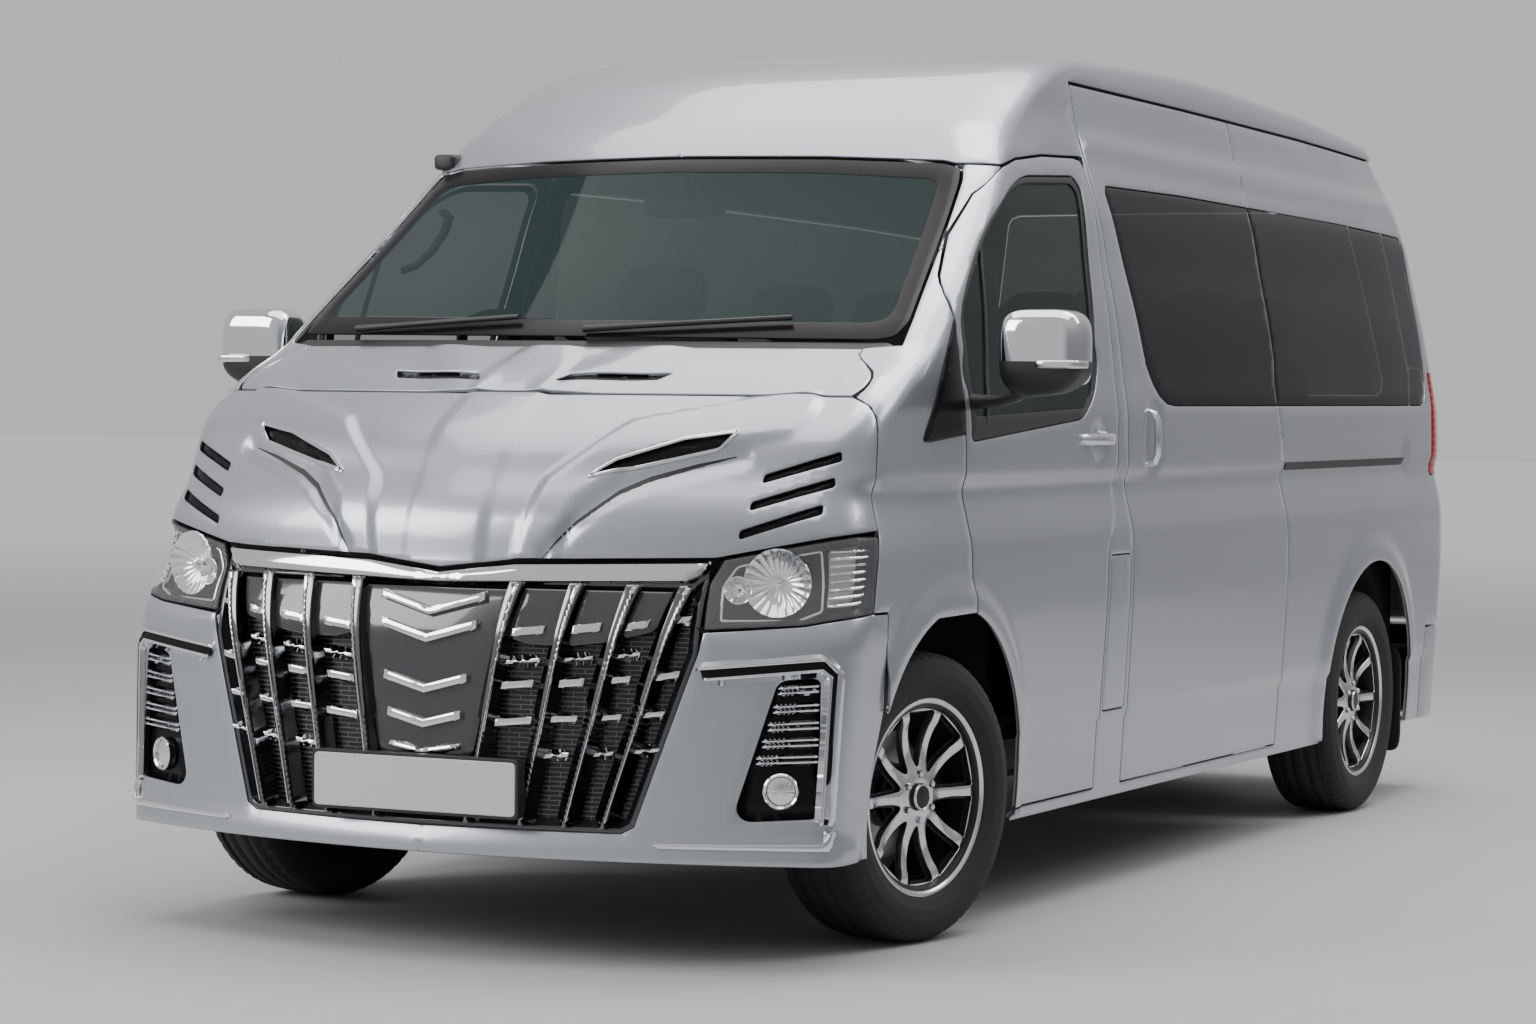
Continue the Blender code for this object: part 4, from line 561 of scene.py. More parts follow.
# a sheet cut from the skin between loops in (u, v): the point moves along the normal by its lift, less the
# sunk depth, less the edge's roll r(1 - sqrt(1 - (1 - d/r)^2)) at a distance d from the edge
def sheet(loops, spacing=0.03, roll=0.004, sunk=0.0, lift=None, edge=0.012, surface=None):
    border = [np.array(divided([tuple(p) for p in loop], edge)) for loop in loops]
    rings = [offsetLoop(border[0], -d) for d in (0.35 * roll, 1.1 * roll)]
    rings += [offsetLoop(hole, d) for hole in border[1:] for d in (0.35 * roll, 1.1 * roll)]
    low, high = border[0].min(0), border[0].max(0)
    gu, gv = np.meshgrid(np.arange(low[0] + spacing / 2, high[0], spacing),
        np.arange(low[1] + spacing / 2, high[1], spacing))
    inner = np.column_stack([gu.ravel(), gv.ravel()])
    far, inside = loopField(inner, border)
    inner = inner[inside & (far > max(0.5 * spacing, 1.6 * roll))]
    ringPoints = np.vstack(rings)
    far, inside = loopField(ringPoints, border)
    ringPoints = ringPoints[inside & (far > 0.2 * roll)]
    points = np.vstack(border + [ringPoints, inner])
    edges, start = [], 0
    for loop in border:
        n = len(loop)
        edges += [(start + k, start + (k + 1) % n) for k in range(n)]
        start += n
    out = geometry.delaunay_2d_cdt([Vector(p) for p in points], edges, [], 0, 1e-07, False)
    points = np.array([tuple(p) for p in out[0]])
    faces = np.array([f for f in out[2] if len(f) == 3])
    _, inside = loopField(points[faces].mean(1), border)
    faces = faces[inside]
    u, v = points.T
    place, normal = surface(u, v) if surface else (surfaceAt(u, v), normalAt(u, v))
    far, _ = loopField(points, border)
    down = np.full(len(points), float(sunk))
    if roll:
        r = np.clip(1 - far / roll, 0, 1)
        down += roll * (1 - np.sqrt(1 - r * r))
    if lift is not None:
        down -= lift(place, u, v)
    return place - normal * down[:, None], faces, points


# a piece made of one sheet; a sheet that ends on the middle plane is made whole
def panel(name, body, loops, mats="paint lining", slot="paint", thick=0.014, replaces="", whole=False,
        **more):
    verts, faces, _ = sheet(loops, **more)
    if whole:
        verts, faces = bothHalves(verts, faces)
    return addPiece(name, makeMesh(verts, faces), body, mats, slot, thick, replaces)


def halfLoop(outline):
    return list(outline) + [(-p[0], *p[1:]) for p in reversed(outline) if p[0] > 0]


archRadius, axleHeight, frontAxle, rearAxle = 0.438, 0.34, -1.61, 1.637


# the side's own relief: a flare round each arch that fades over 80 mm, and a step under the character line
def sideLift(p, u, v):
    total = np.zeros(len(p))
    for y in (frontAxle, rearAxle):
        d = np.hypot(p[:, 1] - y, p[:, 2] - axleHeight) - archRadius
        total += 0.013 * step(1 - (d - 0.03) / 0.055) * (p[:, 2] > 0.25) * (np.abs(p[:, 0]) > 0.6)
    between = band(p[:, 1], -1.2, 2.3, 0.05)
    total -= 0.007 * step((0.455 - p[:, 2]) / 0.012) * between * (np.abs(p[:, 0]) > 0.6)
    cup = np.hypot((p[:, 1] + 0.64) / 0.04, (p[:, 2] - 1.165) / 0.04)
    total -= 0.014 * step((1.25 - cup) / 0.45)
    left = p[:, 0] > 0.6
    cup = (np.abs((p[:, 1] + 0.25) / 0.062)**3 + np.abs((p[:, 2] - 1.166) / 0.088)**3)**(1 / 3)
    total -= 0.012 * step((1.08 - cup) / 0.3) * left
    rail = band(p[:, 2], 1.052, 1.146, 0.006) * band(p[:, 1], 0.8, 2.04, 0.01)
    total -= 0.006 * rail * left
    foldLine = 1.934 - 0.018 * (p[:, 1] + 0.4)
    fold = step(1 - np.abs(p[:, 2] - foldLine) / 0.04) * step((p[:, 1] + 0.44) / 0.05)
    fold = fold * step((2.28 - p[:, 1]) / 0.08)
    total += 0.008 * fold * (np.abs(p[:, 0]) > 0.6)
    return total


doorWindow = [(-1.43, 1.225), (-1.43, 1.48, 0.04), (-1.25, 1.64, 0.08), (-1.04, 1.77, 0.08),
    (-0.923, 1.805, 0.05), (-0.58, 1.822, 0.02), (-0.548, 1.8, 0.02), (-0.61, 1.5, 0.1), (-0.66, 1.29, 0.05),
    (-0.72, 1.245, 0.03)]
fuelLid = mm(-594, 868, -456, 868, -462, 470, -612, 470)


def archPart(y, start, end, radius):
    return [(y + radius * cos(a), axleHeight + radius * sin(a)) for a in np.linspace(start, end, 40)]


# both halves of a sheet that ends on the middle plane, joined there
def bothHalves(verts, faces):
    count = len(verts)
    onMiddle = np.abs(verts[:, 0]) < 1e-05
    twin = np.where(onMiddle, np.arange(count), np.cumsum(~onMiddle) - 1 + count)
    other = verts[~onMiddle] * (-1, 1, 1)
    return np.vstack([verts, other]), np.vstack([faces, twin[faces][:, ::-1]])


# the roof with its front cap, down to the windscreen, the front doors and the gutter line
capLine = [("front", mm(0, 1869, 400, 1864, 690, 1853, 722, 1846)), ("side",
    mm(-1018, 1846, -926, 1867, -736, 1887, -490, 1896, -451, 1896, -446, 2093, 399, 2078, 1400, 2057,
    2219, 2032, 2320, 2024)), ("rear", mm(650, 2006, 0, 2006))]
roofHalf = np.vstack([mixed(*capLine), [(rearMiddle, roofTopLevel), (0.0, roofTopLevel)]])


# the roof's relief: a raised rail along each edge and a shallow crease between the cap and the middle
def roofLift(p, u, v):
    rail = band(v, 2.03, 2.19, 0.02) * step((p[:, 1] + 1.05) / 0.4)
    groove = step(1 - np.abs(np.abs(p[:, 0]) - 0.6) / 0.03)
    groove = groove * step((p[:, 1] + 0.95) / 0.3) * step((2.15 - p[:, 1]) / 0.1)
    return 0.006 * rail - 0.005 * groove * (v > 2.19)


panel("roof_skin", "body", [roofHalf], thick=0.012, replaces="roof", whole=True, spacing=0.04, roll=0.005,
    lift=roofLift)
doorRear = mm(-451, 1893, -459, 1860, -461, 1770, -477, 1600, -499, 1270, -508, 1093, -536, 988, -589, 921,
    -611, 860, -625, 500, -625, 269)
rearArchLine = archPart(rearAxle, pi + 0.23, -0.23, archRadius - 0.004)
windowTop = mm(779.5, 1820, 1600, 1808, 2213, 1790.5, 2238, 1787, 2256, 1777, 2263, 1755, 2284, 1380,
    2280, 1330, 2262, 1285, 2238, 1262, 2200, 1250, 769, 1250)
bandLeft = mm(773.5, 1250, -80, 1250, -140, 1256, -190, 1276, -226, 1308, -262, 1362, -355, 1788, -357, 1808,
    -345, 1823, -330, 1827, 226, 1828, 775.5, 1820)
rearEnd = [("side", mm(2060, 240, 2247, 240, 2247, 543, 2340, 543)), ("rear",
    mm(830, 543, 793, 543, 793, 1008)), ("side", mm(2328, 1028, 2328, 1362)),
    ("rear", mm(789, 1374, 693, 1943, 655, 1996))]
leftSide = mixed(("side", mm(-1178, 240, 1213, 240)), ("side", rearArchLine), *rearEnd,
    ("side", mm(2320, 2020, 2219, 2029, 1400, 2053, 774.5, 2066, 779.5, 1823)), ("side", windowTop),
    ("side", mm(769, 1248, 803, 1150, 815, 700, 803, 270, -435, 270, -435, 2090, -449, 2090) + doorRear),
    ("side", [(-1.177, 0.269)]))
rightSide = mixed(("side", mm(-1178, 240, 1213, 240)), ("side", rearArchLine), *rearEnd,
    ("side", mm(2320, 2020, 2219, 2029, 1400, 2053, 399, 2074, -449, 2090) + doorRear),
    ("side", [(-1.177, 0.269)]))
rightBand = mixed(("side", windowTop[1:-1]), ("side", bandLeft[1:-1]))
lidHole = onSkin("side", fuelLid, 0.012)
panel("side_skin_left", "body", [leftSide, offsetLoop(lidHole, 0.0015)], lift=sideLift, replaces="side_left")
rightPiece = panel("side_skin_base", "body", [rightSide, rightBand], lift=sideLift)
mirrored(rightPiece, "side_skin_right", replaces="side_right")
bpy.data.objects.remove(rightPiece)
sliderLoop = mixed(("side", mm(-432, 272, -432, 2088, 399, 2074, 771.5, 2066, 776.5, 1823)),
    ("side", bandLeft[::-1]), ("side", mm(766, 1248, 800, 1150, 812, 700, 800, 272)))
panel("slider_skin", "body", [sliderLoop], lift=sideLift, spacing=0.022, replaces="sliding_door")
panel("fuel_lid_skin", "fuel_lid", [lidHole], "paint satin", lift=sideLift, thick=0.004, replaces="fuel_lid")

# the front doors, each with its window hole and the black frame round the glass
doorOutline = mm(-1490, 1490, -1486, 1515, -1470, 1540, -1451, 1560, -1330, 1660, -1181, 1765, -1060, 1823,
    -1018, 1840, -926, 1862, -736, 1882, -520, 1889.5, -480, 1886, -463, 1868, -464, 1770, -480, 1600,
    -502, 1270, -511, 1093, -520, 1040, -539, 985, -592, 918, -614, 860, -628, 500, -628, 272)
doorLoop = mixed(("side", doorOutline), ("side", archPart(frontAxle, -0.155, pi - 1.849,
    archRadius) + [(-1.49, 1.486)]))
frameHole = offsetLoop(onSkin("side", doorWindow[:-1] + mm(-740, 1236, 30, -1300, 1196, 20, -1440, 1186, 10,
    size=3), 0.03), 0.02)
glassHole = onSkin("side", doorWindow, 0.03)
mirrored(panel("door_skin_left", "door_left", [doorLoop, frameHole], lift=sideLift, thick=0.012, spacing=0.02,
    replaces="door_left"))
mirrored(panel("door_frame_left", "door_left", [offsetLoop(frameHole, -0.001), glassHole], "satin", "black",
    0.012, sunk=0.005, roll=0.003))
mirrored(panel("door_glass_skin_left", "door_left", [offsetLoop(glassHole, 0.004)], "doorGlass", "glass", 0,
    sunk=0.01, roll=0, replaces="door_glass_left"))
mirrored(panel("door_divider_left", "door_left", [onSkin("side", mm(-1258, 1655, -1241, 1668, -1345, 1205,
    -1366, 1205))], "satin", "black", 0.01, sunk=0.004, roll=0.003))

# the fenders with the windscreen pillars, and the black triangle at each mirror
fenderLoop = mixed(("side", mm(-1994, 974, -1982, 1060, -1962, 1150, -1932, 1272, -1728, 1384)),
    ("front", mm(838, 1392, 829, 1449, 757, 1800, 743, 1836, 722, 1842)),
    ("side", mm(-1019.5, 1841.5, -1182, 1766.5, -1331.5, 1662, -1452.5, 1562, -1472, 1541.5, -1488, 1516,
    -1495, 1490, -1495, 765)), ("side", archPart(frontAxle, pi - 1.305, pi - 0.535, archRadius)),
    ("side", mm(-1987, 567, -1987, 790, -2066, 791, -1994, 970)))
mirrored(panel("fender_skin_left", "body", [fenderLoop], lift=sideLift, thick=0.01, replaces="fender_left"))
mirrored(panel("pillar_trim_left", "body", [onSkin("side", [(-1.496, 1.457), (-1.722, 1.19, 0.02),
    (-1.734, 1.168, 0.02), (-1.7, 1.166, 0.01), (-1.496, 1.182)], 0.004)], "gloss", "black", 0.006,
    sunk=-0.004))

# the side glass, dark and flush
panel("slider_glass_skin", "body", [offsetLoop(mixed(("side", bandLeft)), -0.002)], "privacy", "glass", 0,
    sunk=0.002, roll=0.003, replaces="sliding_door_glass")
panel("side_glass_skin_left", "body", [offsetLoop(mixed(("side", windowTop)), -0.002)], "privacy", "glass", 0,
    sunk=0.002, roll=0.003, replaces="side_glass_left")
glass = panel("side_glass_base", "body", [offsetLoop(rightBand, -0.002)], "privacy", "glass", 0, sunk=0.002,
    roll=0.003)
mirrored(glass, "side_glass_skin_right", replaces="side_glass_right")
bpy.data.objects.remove(glass)
print("side panels made")

# the bonnet in two sheets with the seam between them
slotOutlines = {"bonnet_slot": mm(101, 1298, 350, 1306, 372, 1322, 125, 1314),
    "drl": mm(325, 1083, 600, 1150, 632, 1184, 520, 1167, 380, 1120), "gill_top": mm(712, 1078, 862, 1128,
    858, 1148, 712, 1096), "gill_mid": mm(702, 1018, 860, 1071, 856, 1091, 702, 1036),
    "gill_low": mm(691, 954, 852, 1012, 848, 1032, 691, 972)}


def bothSlots(name):
    loop = onSkin("front", slotOutlines[name], 0.006)
    return [loop, loop * (-1, 1)]


def lineField(p, line):
    q = np.column_stack([np.abs(p[:, 0]), p[:, 2]])
    nearest = np.full(len(p), 9.0)
    for a, b in zip(line, line[1:]):
        a, b = np.array(a), np.array(b)
        t = np.clip((q - a) @ (b - a) / ((b - a) @ (b - a)), 0, 1)
        nearest = np.minimum(nearest, np.hypot(*(q - a - t[:, None] * (b - a)).T))
    return nearest


# the nose's relief: a broad ridge from each shoulder down, a groove below it to the outside,
# and a low raised V on the top panel, each a smooth step of the distance to its line
def noseLift(p, u, v):
    ridge = step((0.062 - lineField(p, mm(720, 1235, 400, 1165, 265, 1050, 225, 860))) / 0.026)
    inner = step((0.115 - lineField(p, mm(0, 1300, 0, 860))) / 0.03)
    groove = step(1 - lineField(p, mm(660, 1135, 460, 1085, 400, 1055, 320, 985, 262, 915)) / 0.03)
    vee = step(1 - lineField(p, mm(300, 1385, 100, 1270)) / 0.07)
    shoulder = step(1 - lineField(p, mm(790, 1380, 770, 1270)) / 0.04) * step((p[:, 2] - 1.275) / 0.03)
    return 0.009 * ridge + 0.005 * inner - 0.009 * groove + 0.006 * vee * (p[:, 2] > 1.272) + 0.004 * shoulder


noseSeam = mm(-1997, 972, -1985, 1060, -1965, 1150, -1936, 1270.5)
halfCover = mixed(("front", mm(0, 877, 190, 900, 645, 912, 915, 968)), ("side", noseSeam),
    ("front", [(0, 1.2705)]), most=0.02)
halfTop = mixed(("front", [(0, 1.2735)]), ("side", mm(-1933, 1273.5, -1731, 1382)), ("front", [(0, 1.383)]),
    most=0.02)
cover, top = [np.vstack([half, (half * (-1, 1))[::-1][1:-1]]) for half in (halfCover, halfTop)]
noseSlots = [loop for name in ("drl", "gill_top", "gill_mid", "gill_low") for loop in bothSlots(name)]
panel("bonnet_cover_skin", "bonnet", [cover] + noseSlots, lift=noseLift, spacing=0.011, edge=0.008,
    replaces="bonnet")
panel("bonnet_top_skin", "bonnet", [top] + bothSlots("bonnet_slot"), lift=noseLift, spacing=0.014, edge=0.009)
# a tapered black strip laid along the floor of each nose groove, as painted shade in the crease
grooveShadeLine = np.array(mm(640, 1137, 1, 560, 1116, 4, 460, 1085, 6, 400, 1055, 6, 320, 985, 5, 262, 915, 2,
    246, 893, 0.6, size=3))
grooveShade = [(x, z + h) for x, z, h in grooveShadeLine] + [(x, z - h) for x, z, h in grooveShadeLine[::-1]]
for side, sign in (("left", 1), ("right", -1)):
    loop = onSkin("front", grooveShade, 0.0, 0.015) * (sign, 1)
    panel(f"bonnet_groove_{side}", "bonnet", [loop], "satin", "black", 0, sunk=-0.0012, roll=0, spacing=0.01,
        lift=noseLift)
    loop = onSkin("front", slotOutlines["drl"], 0.006) * (sign, 1)
    panel(f"drl_rim_{side}", "bonnet", [offsetLoop(loop, 0.006), offsetLoop(loop, -0.003)], "chrome",
        "chrome", 0.006, sunk=-0.003, roll=0.002, spacing=0.012, lift=noseLift)
for name in slotOutlines:
    for side, loop in zip(("left", "right"), bothSlots(name)):
        grown = offsetLoop(loop, 0.006)
        panel(f"{name}_mesh_{side}", "bonnet", [grown], "gloss", "black", 0.003, sunk=0.009, roll=0,
            spacing=0.02, lift=noseLift)

# the windscreen with its black border, and the cowl under it
screenHalf = mm(0, 1409, 770, 1405, 812, 1413, 824, 1449, 752, 1800, 738, 1838, 690, 1850, 400, 1861, 0, 1866)
innerHalf = mm(0, 1452, 740, 1448, 776, 1462, 706, 1786, 690, 1806, 400, 1822, 0, 1828)
screenLoop = offsetLoop(onSkin("front", halfLoop(screenHalf)[:-1], 0.012), -0.002)
innerLoop = onSkin("front", halfLoop(innerHalf)[:-1], 0.03)
panel("screen_border", "body", [screenLoop, innerLoop], "gloss", "black", 0.004, sunk=0.004, roll=0.003)
panel("screen_skin", "body", [innerLoop], "screen", "glass", 0, sunk=0.005, roll=0, replaces="windscreen")
panel("cowl_skin", "body", [onSkin("front", mm(-846, 1386, 846, 1386, 800, 1406, -800, 1406), 0.006)],
    "satin", "black", 0.01, sunk=0.01, replaces="cowl")
print("bonnet and windscreen made")


# a grid of points, closed round u and v where asked, and capped at both ends of u by a fan
def gridMesh(points, aroundU=False, aroundV=True, caps=False, angle=32):
    m, n = points.shape[:2]
    i, j = np.meshgrid(np.arange(m if aroundU else m - 1), np.arange(n if aroundV else n - 1), indexing="ij")
    a, b = i * n + j, i * n + (j + 1) % n
    c, d = (i + 1) % m * n + (j + 1) % n, (i + 1) % m * n + j
    faces = np.dstack([a, b, c, d]).reshape(-1, 4).tolist()
    verts = points.reshape(-1, 3)
    if caps:
        ends = np.array([points[0].mean(0), points[-1].mean(0)])
        k = np.arange(n)
        faces += np.column_stack([np.full(n, m * n), (k + 1) % n, k]).tolist()
        faces += np.column_stack([np.full(n, m * n + 1), (m - 1) * n + k, (m - 1) * n + (k + 1) % n]).tolist()
        verts = np.vstack([verts, ends])
    return makeMesh(verts, faces, angle)


# a rounded block: |a|^n + |b|^n + |c|^n = 1 scaled to the box, where a, b and c run along x, y and z
def block(low, high, power=5.0, count=(28, 40)):
    low, high = np.array(low, float), np.array(high, float)
    lat = np.linspace(-pi / 2, pi / 2, count[0])[:, None]
    lon = np.linspace(0, 2 * pi, count[1], endpoint=False)[None, :]

    def signed(x):
        return np.sign(x) * np.abs(x)**(2 / power)
    x = signed(np.cos(lat)) * signed(np.cos(lon))
    y = signed(np.cos(lat)) * signed(np.sin(lon))
    z = signed(np.sin(lat)) * np.ones_like(lon)
    return (low + high) / 2 + np.dstack([x, y, z]) * (high - low) / 2


# a section carried along a path: path + a * side + b * up, with side and up from the path's direction
def sweep(path, section, up=(0, 0, 1), scale=None):
    path = np.array(path, float)
    along = np.gradient(path, axis=0)
    along /= np.linalg.norm(along, axis=1)[:, None]
    side = np.cross(along, up)
    side /= np.linalg.norm(side, axis=1)[:, None]
    top = np.cross(side, along)
    scale = np.ones(len(path)) if scale is None else np.array(scale, float)
    section = np.array(section, float)
    return (path[:, None] + side[:, None] * section[None, :, :1] * scale[:, None, None] + top[:, None]
        * section[None, :, 1:] * scale[:, None, None])


def ring(radius, count=12, squash=1.0):
    a = np.linspace(0, 2 * pi, count, endpoint=False)
    return np.column_stack([radius * np.cos(a), radius * squash * np.sin(a)])


# several meshes in one, each with its material slot where it has one
def joinMeshes(meshes, angle=32):
    verts, faces, start, slots = [], [], 0, []
    for item in meshes:
        slot, mesh = item if isinstance(item, tuple) else (0, item)
        co = np.empty(len(mesh.vertices) * 3)
        mesh.vertices.foreach_get("co", co)
        verts.append(co.reshape(-1, 3))
        faces += [[v + start for v in f.vertices] for f in mesh.polygons]
        slots += [slot] * len(mesh.polygons)
        start += len(mesh.vertices)
        bpy.data.meshes.remove(mesh)
    out = makeMesh(np.vstack(verts), faces, angle, 0.0)
    out.polygons.foreach_set("material_index", slots)
    return out


# a part cut from the skin inside an outline seen from the front
def bandMesh(outline, spacing=0.02, **more):
    verts, faces, _ = sheet([onSkin("front", outline, 0.0, 0.02)], spacing=spacing, **more)
    return makeMesh(verts, faces)


# front bumper round the grille, with the vents' holes
grilleHalf = mm(0, 300, 480, 303, 508, 318, 634, 700, 643, 749)
ventOutline = mm(745, 337, 725, 361, 807, 646, 892, 655, 898, 347)
lampOutline = mm(641, 753, 638, 860, 662, 910, 933, 967)
lampBottom = mm(968, 790, 850, 766, 641, 753)
halfBumper = mixed(("front", grilleHalf), ("front", lampBottom[::-1][1:]),
    ("side", mm(-2069, 788, -1992, 786, -1992, 563, -2006, 523, -2026, 468, -2040, 410, -2045, 340,
    -2043, 290, -2034, 240)), ("front", mm(900, 240, 0, 240)))
ventLoop = onSkin("front", ventOutline, 0.02)


# the bumper's relief: the lower lip stands out, and a soft fold runs from the lamp down to the vent
def bumperLift(p, u, v):
    lip = step((0.292 - p[:, 2]) / 0.02) * step((-2.06 - p[:, 1]) / 0.06)
    fold = step(1 - lineField(p, mm(655, 735, 760, 715, 930, 735)) / 0.03)
    return 0.01 * lip + 0.004 * fold


panel("bumper_skin", "body", [halfBumper, ventLoop], "paint satin", thick=0.016, replaces="front_bumper",
    whole=True, lift=bumperLift, spacing=0.025)

# the grille: dark slats behind, leaning bars, chevrons and teeth in rows, and the shield in the middle
grilleOuter = mm(480, 303, 508, 318, 634, 700, 636, 860, 634, 885, 600, 858)
grilleBack = onSkin("front", halfLoop(grilleOuter), 0.0)
panel("grille_back", "body", [offsetLoop(grilleBack, 0.002)], "slats", "black", 0.006, sunk=0.026, roll=0,
    replaces="grille")
rimHole = offsetLoop(grilleBack, -0.012)
panel("grille_rim", "body", [grilleBack, rimHole], "smoke", "black", 0.028, sunk=0.003)
bars = mm(118, 207, 250, 349, 353, 478, 440, 595)
barFoot, barHead = 0.312, 0.846


def barShape(foot, head, wide, most, z0=barFoot, z1=barHead):
    z = np.linspace(z0, z1, 14)
    t = (z - barFoot) / (barHead - barFoot)
    middle = foot + (head - foot) * t
    half = (wide + (most - wide) * t**3) / 2
    return [(m - h, a) for m, h, a in zip(middle, half, z)] + [(m + h, a) for m, h,
        a in zip(middle, half, z)][::-1]


dark, bright = [], []
for foot, head in bars:
    for sign in (1, -1):
        shape = barShape(foot, head, 0.013, 0.036)
        shape = [(sign * a, b) for a, b in shape]
        dark.append(bandMesh(shape, sunk=-0.018, roll=0.007, edge=0.03))
        edgeShape = [(sign * a, b) for a, b in barShape(foot + 0.004, head + 0.006, 0.004, 0.012, 0.325,
            0.838)]
        bright.append(bandMesh(edgeShape, sunk=-0.0215, roll=0.0025, edge=0.03))
addPiece("grille_bars", joinMeshes(dark), "body", "darkChrome", "chrome", 0.04)
addPiece("grille_bar_edges", joinMeshes(bright), "body", "chrome", "chrome", 0.006)
chevrons = mm(137, 768, 37, 127, 708, 35, 110, 595, 29, 97, 517, 24, 90, 459, 14, size=3)
teeth = mm(208, 729, 287, 737, 20, 349, 738, 417, 746, 21, 471, 747, 523, 757, 19, 578, 764, 613, 772, 15,
    189, 611, 269, 619, 18, 326, 619, 387, 625, 19, 447, 632, 490, 637, 15, 545, 640, 597, 650, 16,
    177, 528, 267, 537, 18, 311, 542, 373, 546, 15, 429, 550, 471, 555, 12, 521, 559, 566, 564, 12,
    298, 462, 354, 468, 10, 413, 470, 456, 475, 9, 504, 480, 557, 486, 8, 199, 668, 278, 676, 8,
    338, 678, 402, 685, 8, 459, 689, 507, 696, 8, size=5)
rows = []
for span, z, rise in chevrons:
    tall = 0.021 if z > 0.5 else 0.013
    rows.append(bandMesh([(-span, z + rise), (0, z), (span, z + rise), (span * 0.985, z + rise + tall),
        (0, z + tall), (-span * 0.985, z + rise + tall)], sunk=-0.01, roll=0.006, edge=0.02))
for x0, z0, x1, z1, tall in teeth:
    for sign in (1, -1):
        rows.append(bandMesh([(sign * x0, z0), (sign * x1, z1), (sign * (x1 + 0.004), z1 + tall),
            (sign * (x0 + 0.004), z0 + tall)], sunk=-0.006, roll=min(0.005, tall * 0.26), edge=0.02))
addPiece("grille_rows", joinMeshes(rows), "body", "chrome", "chrome", 0.024)
topPanels = [mm(222, 838, 199, 735, 215, 722, 255, 712, 318, 711.5, 328, 722, 342, 838),
    mm(366, 838, 344, 722, 352, 712, 433, 722, 446, 735, 463, 838), mm(490, 838, 466, 742, 475, 733, 532, 747,
    543, 758, 566, 838)]
shield = mm(-196, 836, -126, 470, -100, 440, 100, 440, 126, 470, 196, 836)
plates = [bandMesh(shield, sunk=0.004, roll=0.005)]
for shape in topPanels:
    for sign in (1, -1):
        plates.append(bandMesh([(sign * a, b) for a, b in shape], sunk=0.001, roll=0.005))
addPiece("grille_panels", joinMeshes(plates), "body", "smoke", "black", 0.012)
chromeHalf = mm(0, 840.5, 590, 854, 620, 869, 634, 893, 634, 904, 190, 892, 26, 873, 0, 869)
panel("chrome_bar_skin", "body", [onSkin("front", halfLoop(chromeHalf), 0.0, 0.02)], "chrome", "chrome", 0.03,
    sunk=-0.009, roll=0.015, spacing=0.012, replaces="chrome_bar")


# the plate: a flat rounded board in a thin dark frame, bare
def boardMesh(half, low, high, y, thick, radius):
    loop = np.array(rounded([(-half, low), (half, low), (half, high), (-half, high)], radius))
    levels = [(0.0, thick), (0.0, 0.0015), (0.0015, 0.0)]
    rings = [np.column_stack([offsetLoop(loop, -inset)[:, 0], np.full(len(loop), y + depth),
        offsetLoop(loop, -inset)[:, 1]]) for inset, depth in levels]
    return gridMesh(np.array(rings), caps=True)


plateLine = -2.4646
addPiece("plate_frame", boardMesh(0.269, 0.328, 0.462, plateLine + 0.003, 0.03, 0.016), "body", "satin",
    "black")
addPiece("plate_board", boardMesh(0.262, 0.335, 0.455, plateLine, 0.006, 0.012), "body", "plate", "trim")

# the chrome frames round the vents, the vents with their slats, the fog lamps and the blades
frameOuter = mm(632, 664, 646, 675, 902, 700, 930, 668, 918, 332, 911, 332, 922, 663, 899, 691, 649, 667)
frameInner = mm(650, 650, 897, 675, 915, 658, 904, 332, 898, 332, 908, 654, 895, 667, 654, 643)
frameGap = mm(642, 668, 900, 694, 924, 666, 914, 334, 902, 334, 910, 656, 896, 670, 648, 646)
blade = mm(553, 279, 566, 273, 912, 275, 917, 290, 918, 331, 909, 303, 903, 292, 560, 286)
trims = {"vent_frame": (frameOuter, 0.011, 0.0025, "chrome"), "vent_frame_inner": (frameInner, 0.011, 0.0025,
    "chrome"), "vent_groove": (frameGap, 0.006, 0.002, "gloss"), "blade": (blade, 0.014, 0.004, "chrome")}
for name, (outline, proud, roll, look) in trims.items():
    mirrored(panel(f"{name}_left", "body", [onSkin("front", outline, 0.0, 0.015)], look, "chrome", 0.02,
        sunk=-proud, roll=roll, spacing=0.02, edge=0.01))
mirrored(panel("vent_back_left", "body", [offsetLoop(ventLoop, 0.004)], "gloss", "black", 0.004, sunk=0.016,
    roll=0, replaces="vent_left"))
slats = []
for z, x0, x1 in ((0.471, 0.765, 0.892), (0.508, 0.776, 0.892), (0.545, 0.787, 0.892), (0.584, 0.797, 0.891),
        (0.625, 0.806, 0.89)):
    for low in (z - 0.009, z + 0.003):
        slats.append(bandMesh([(x0, low), (x1, low + 0.007), (x1, low + 0.012), (x0 + 0.001, low + 0.005)],
            roll=0.002))
mirrored(addPiece("vent_slats_left", joinMeshes(slats), "body", "chrome", "chrome", 0.01))


# a turned shape: its profile of (depth along the axis, radius) carried round the axis; petals wave the depth
def turned(centre, axis, profile, count=64, petals=0, wave=0.0):
    axis = np.array(axis, float) / np.linalg.norm(axis)
    side = np.cross(axis, (0, 0, 1))
    side /= np.linalg.norm(side)
    up = np.cross(side, axis)
    a = np.linspace(0, 2 * pi, count, endpoint=False)
    profile = np.array(profile, float)
    swing = wave * np.abs(np.sin(petals * a / 2)) if petals else np.zeros(count)
    depth = profile[:, 0, None] + swing[None] * (profile[:, 1, None] / profile[:, 1].max())
    return (np.array(centre) + depth[..., None] * axis + profile[:, 1, None, None]
        * (np.cos(a)[None, :, None] * side + np.sin(a)[None, :, None] * up))


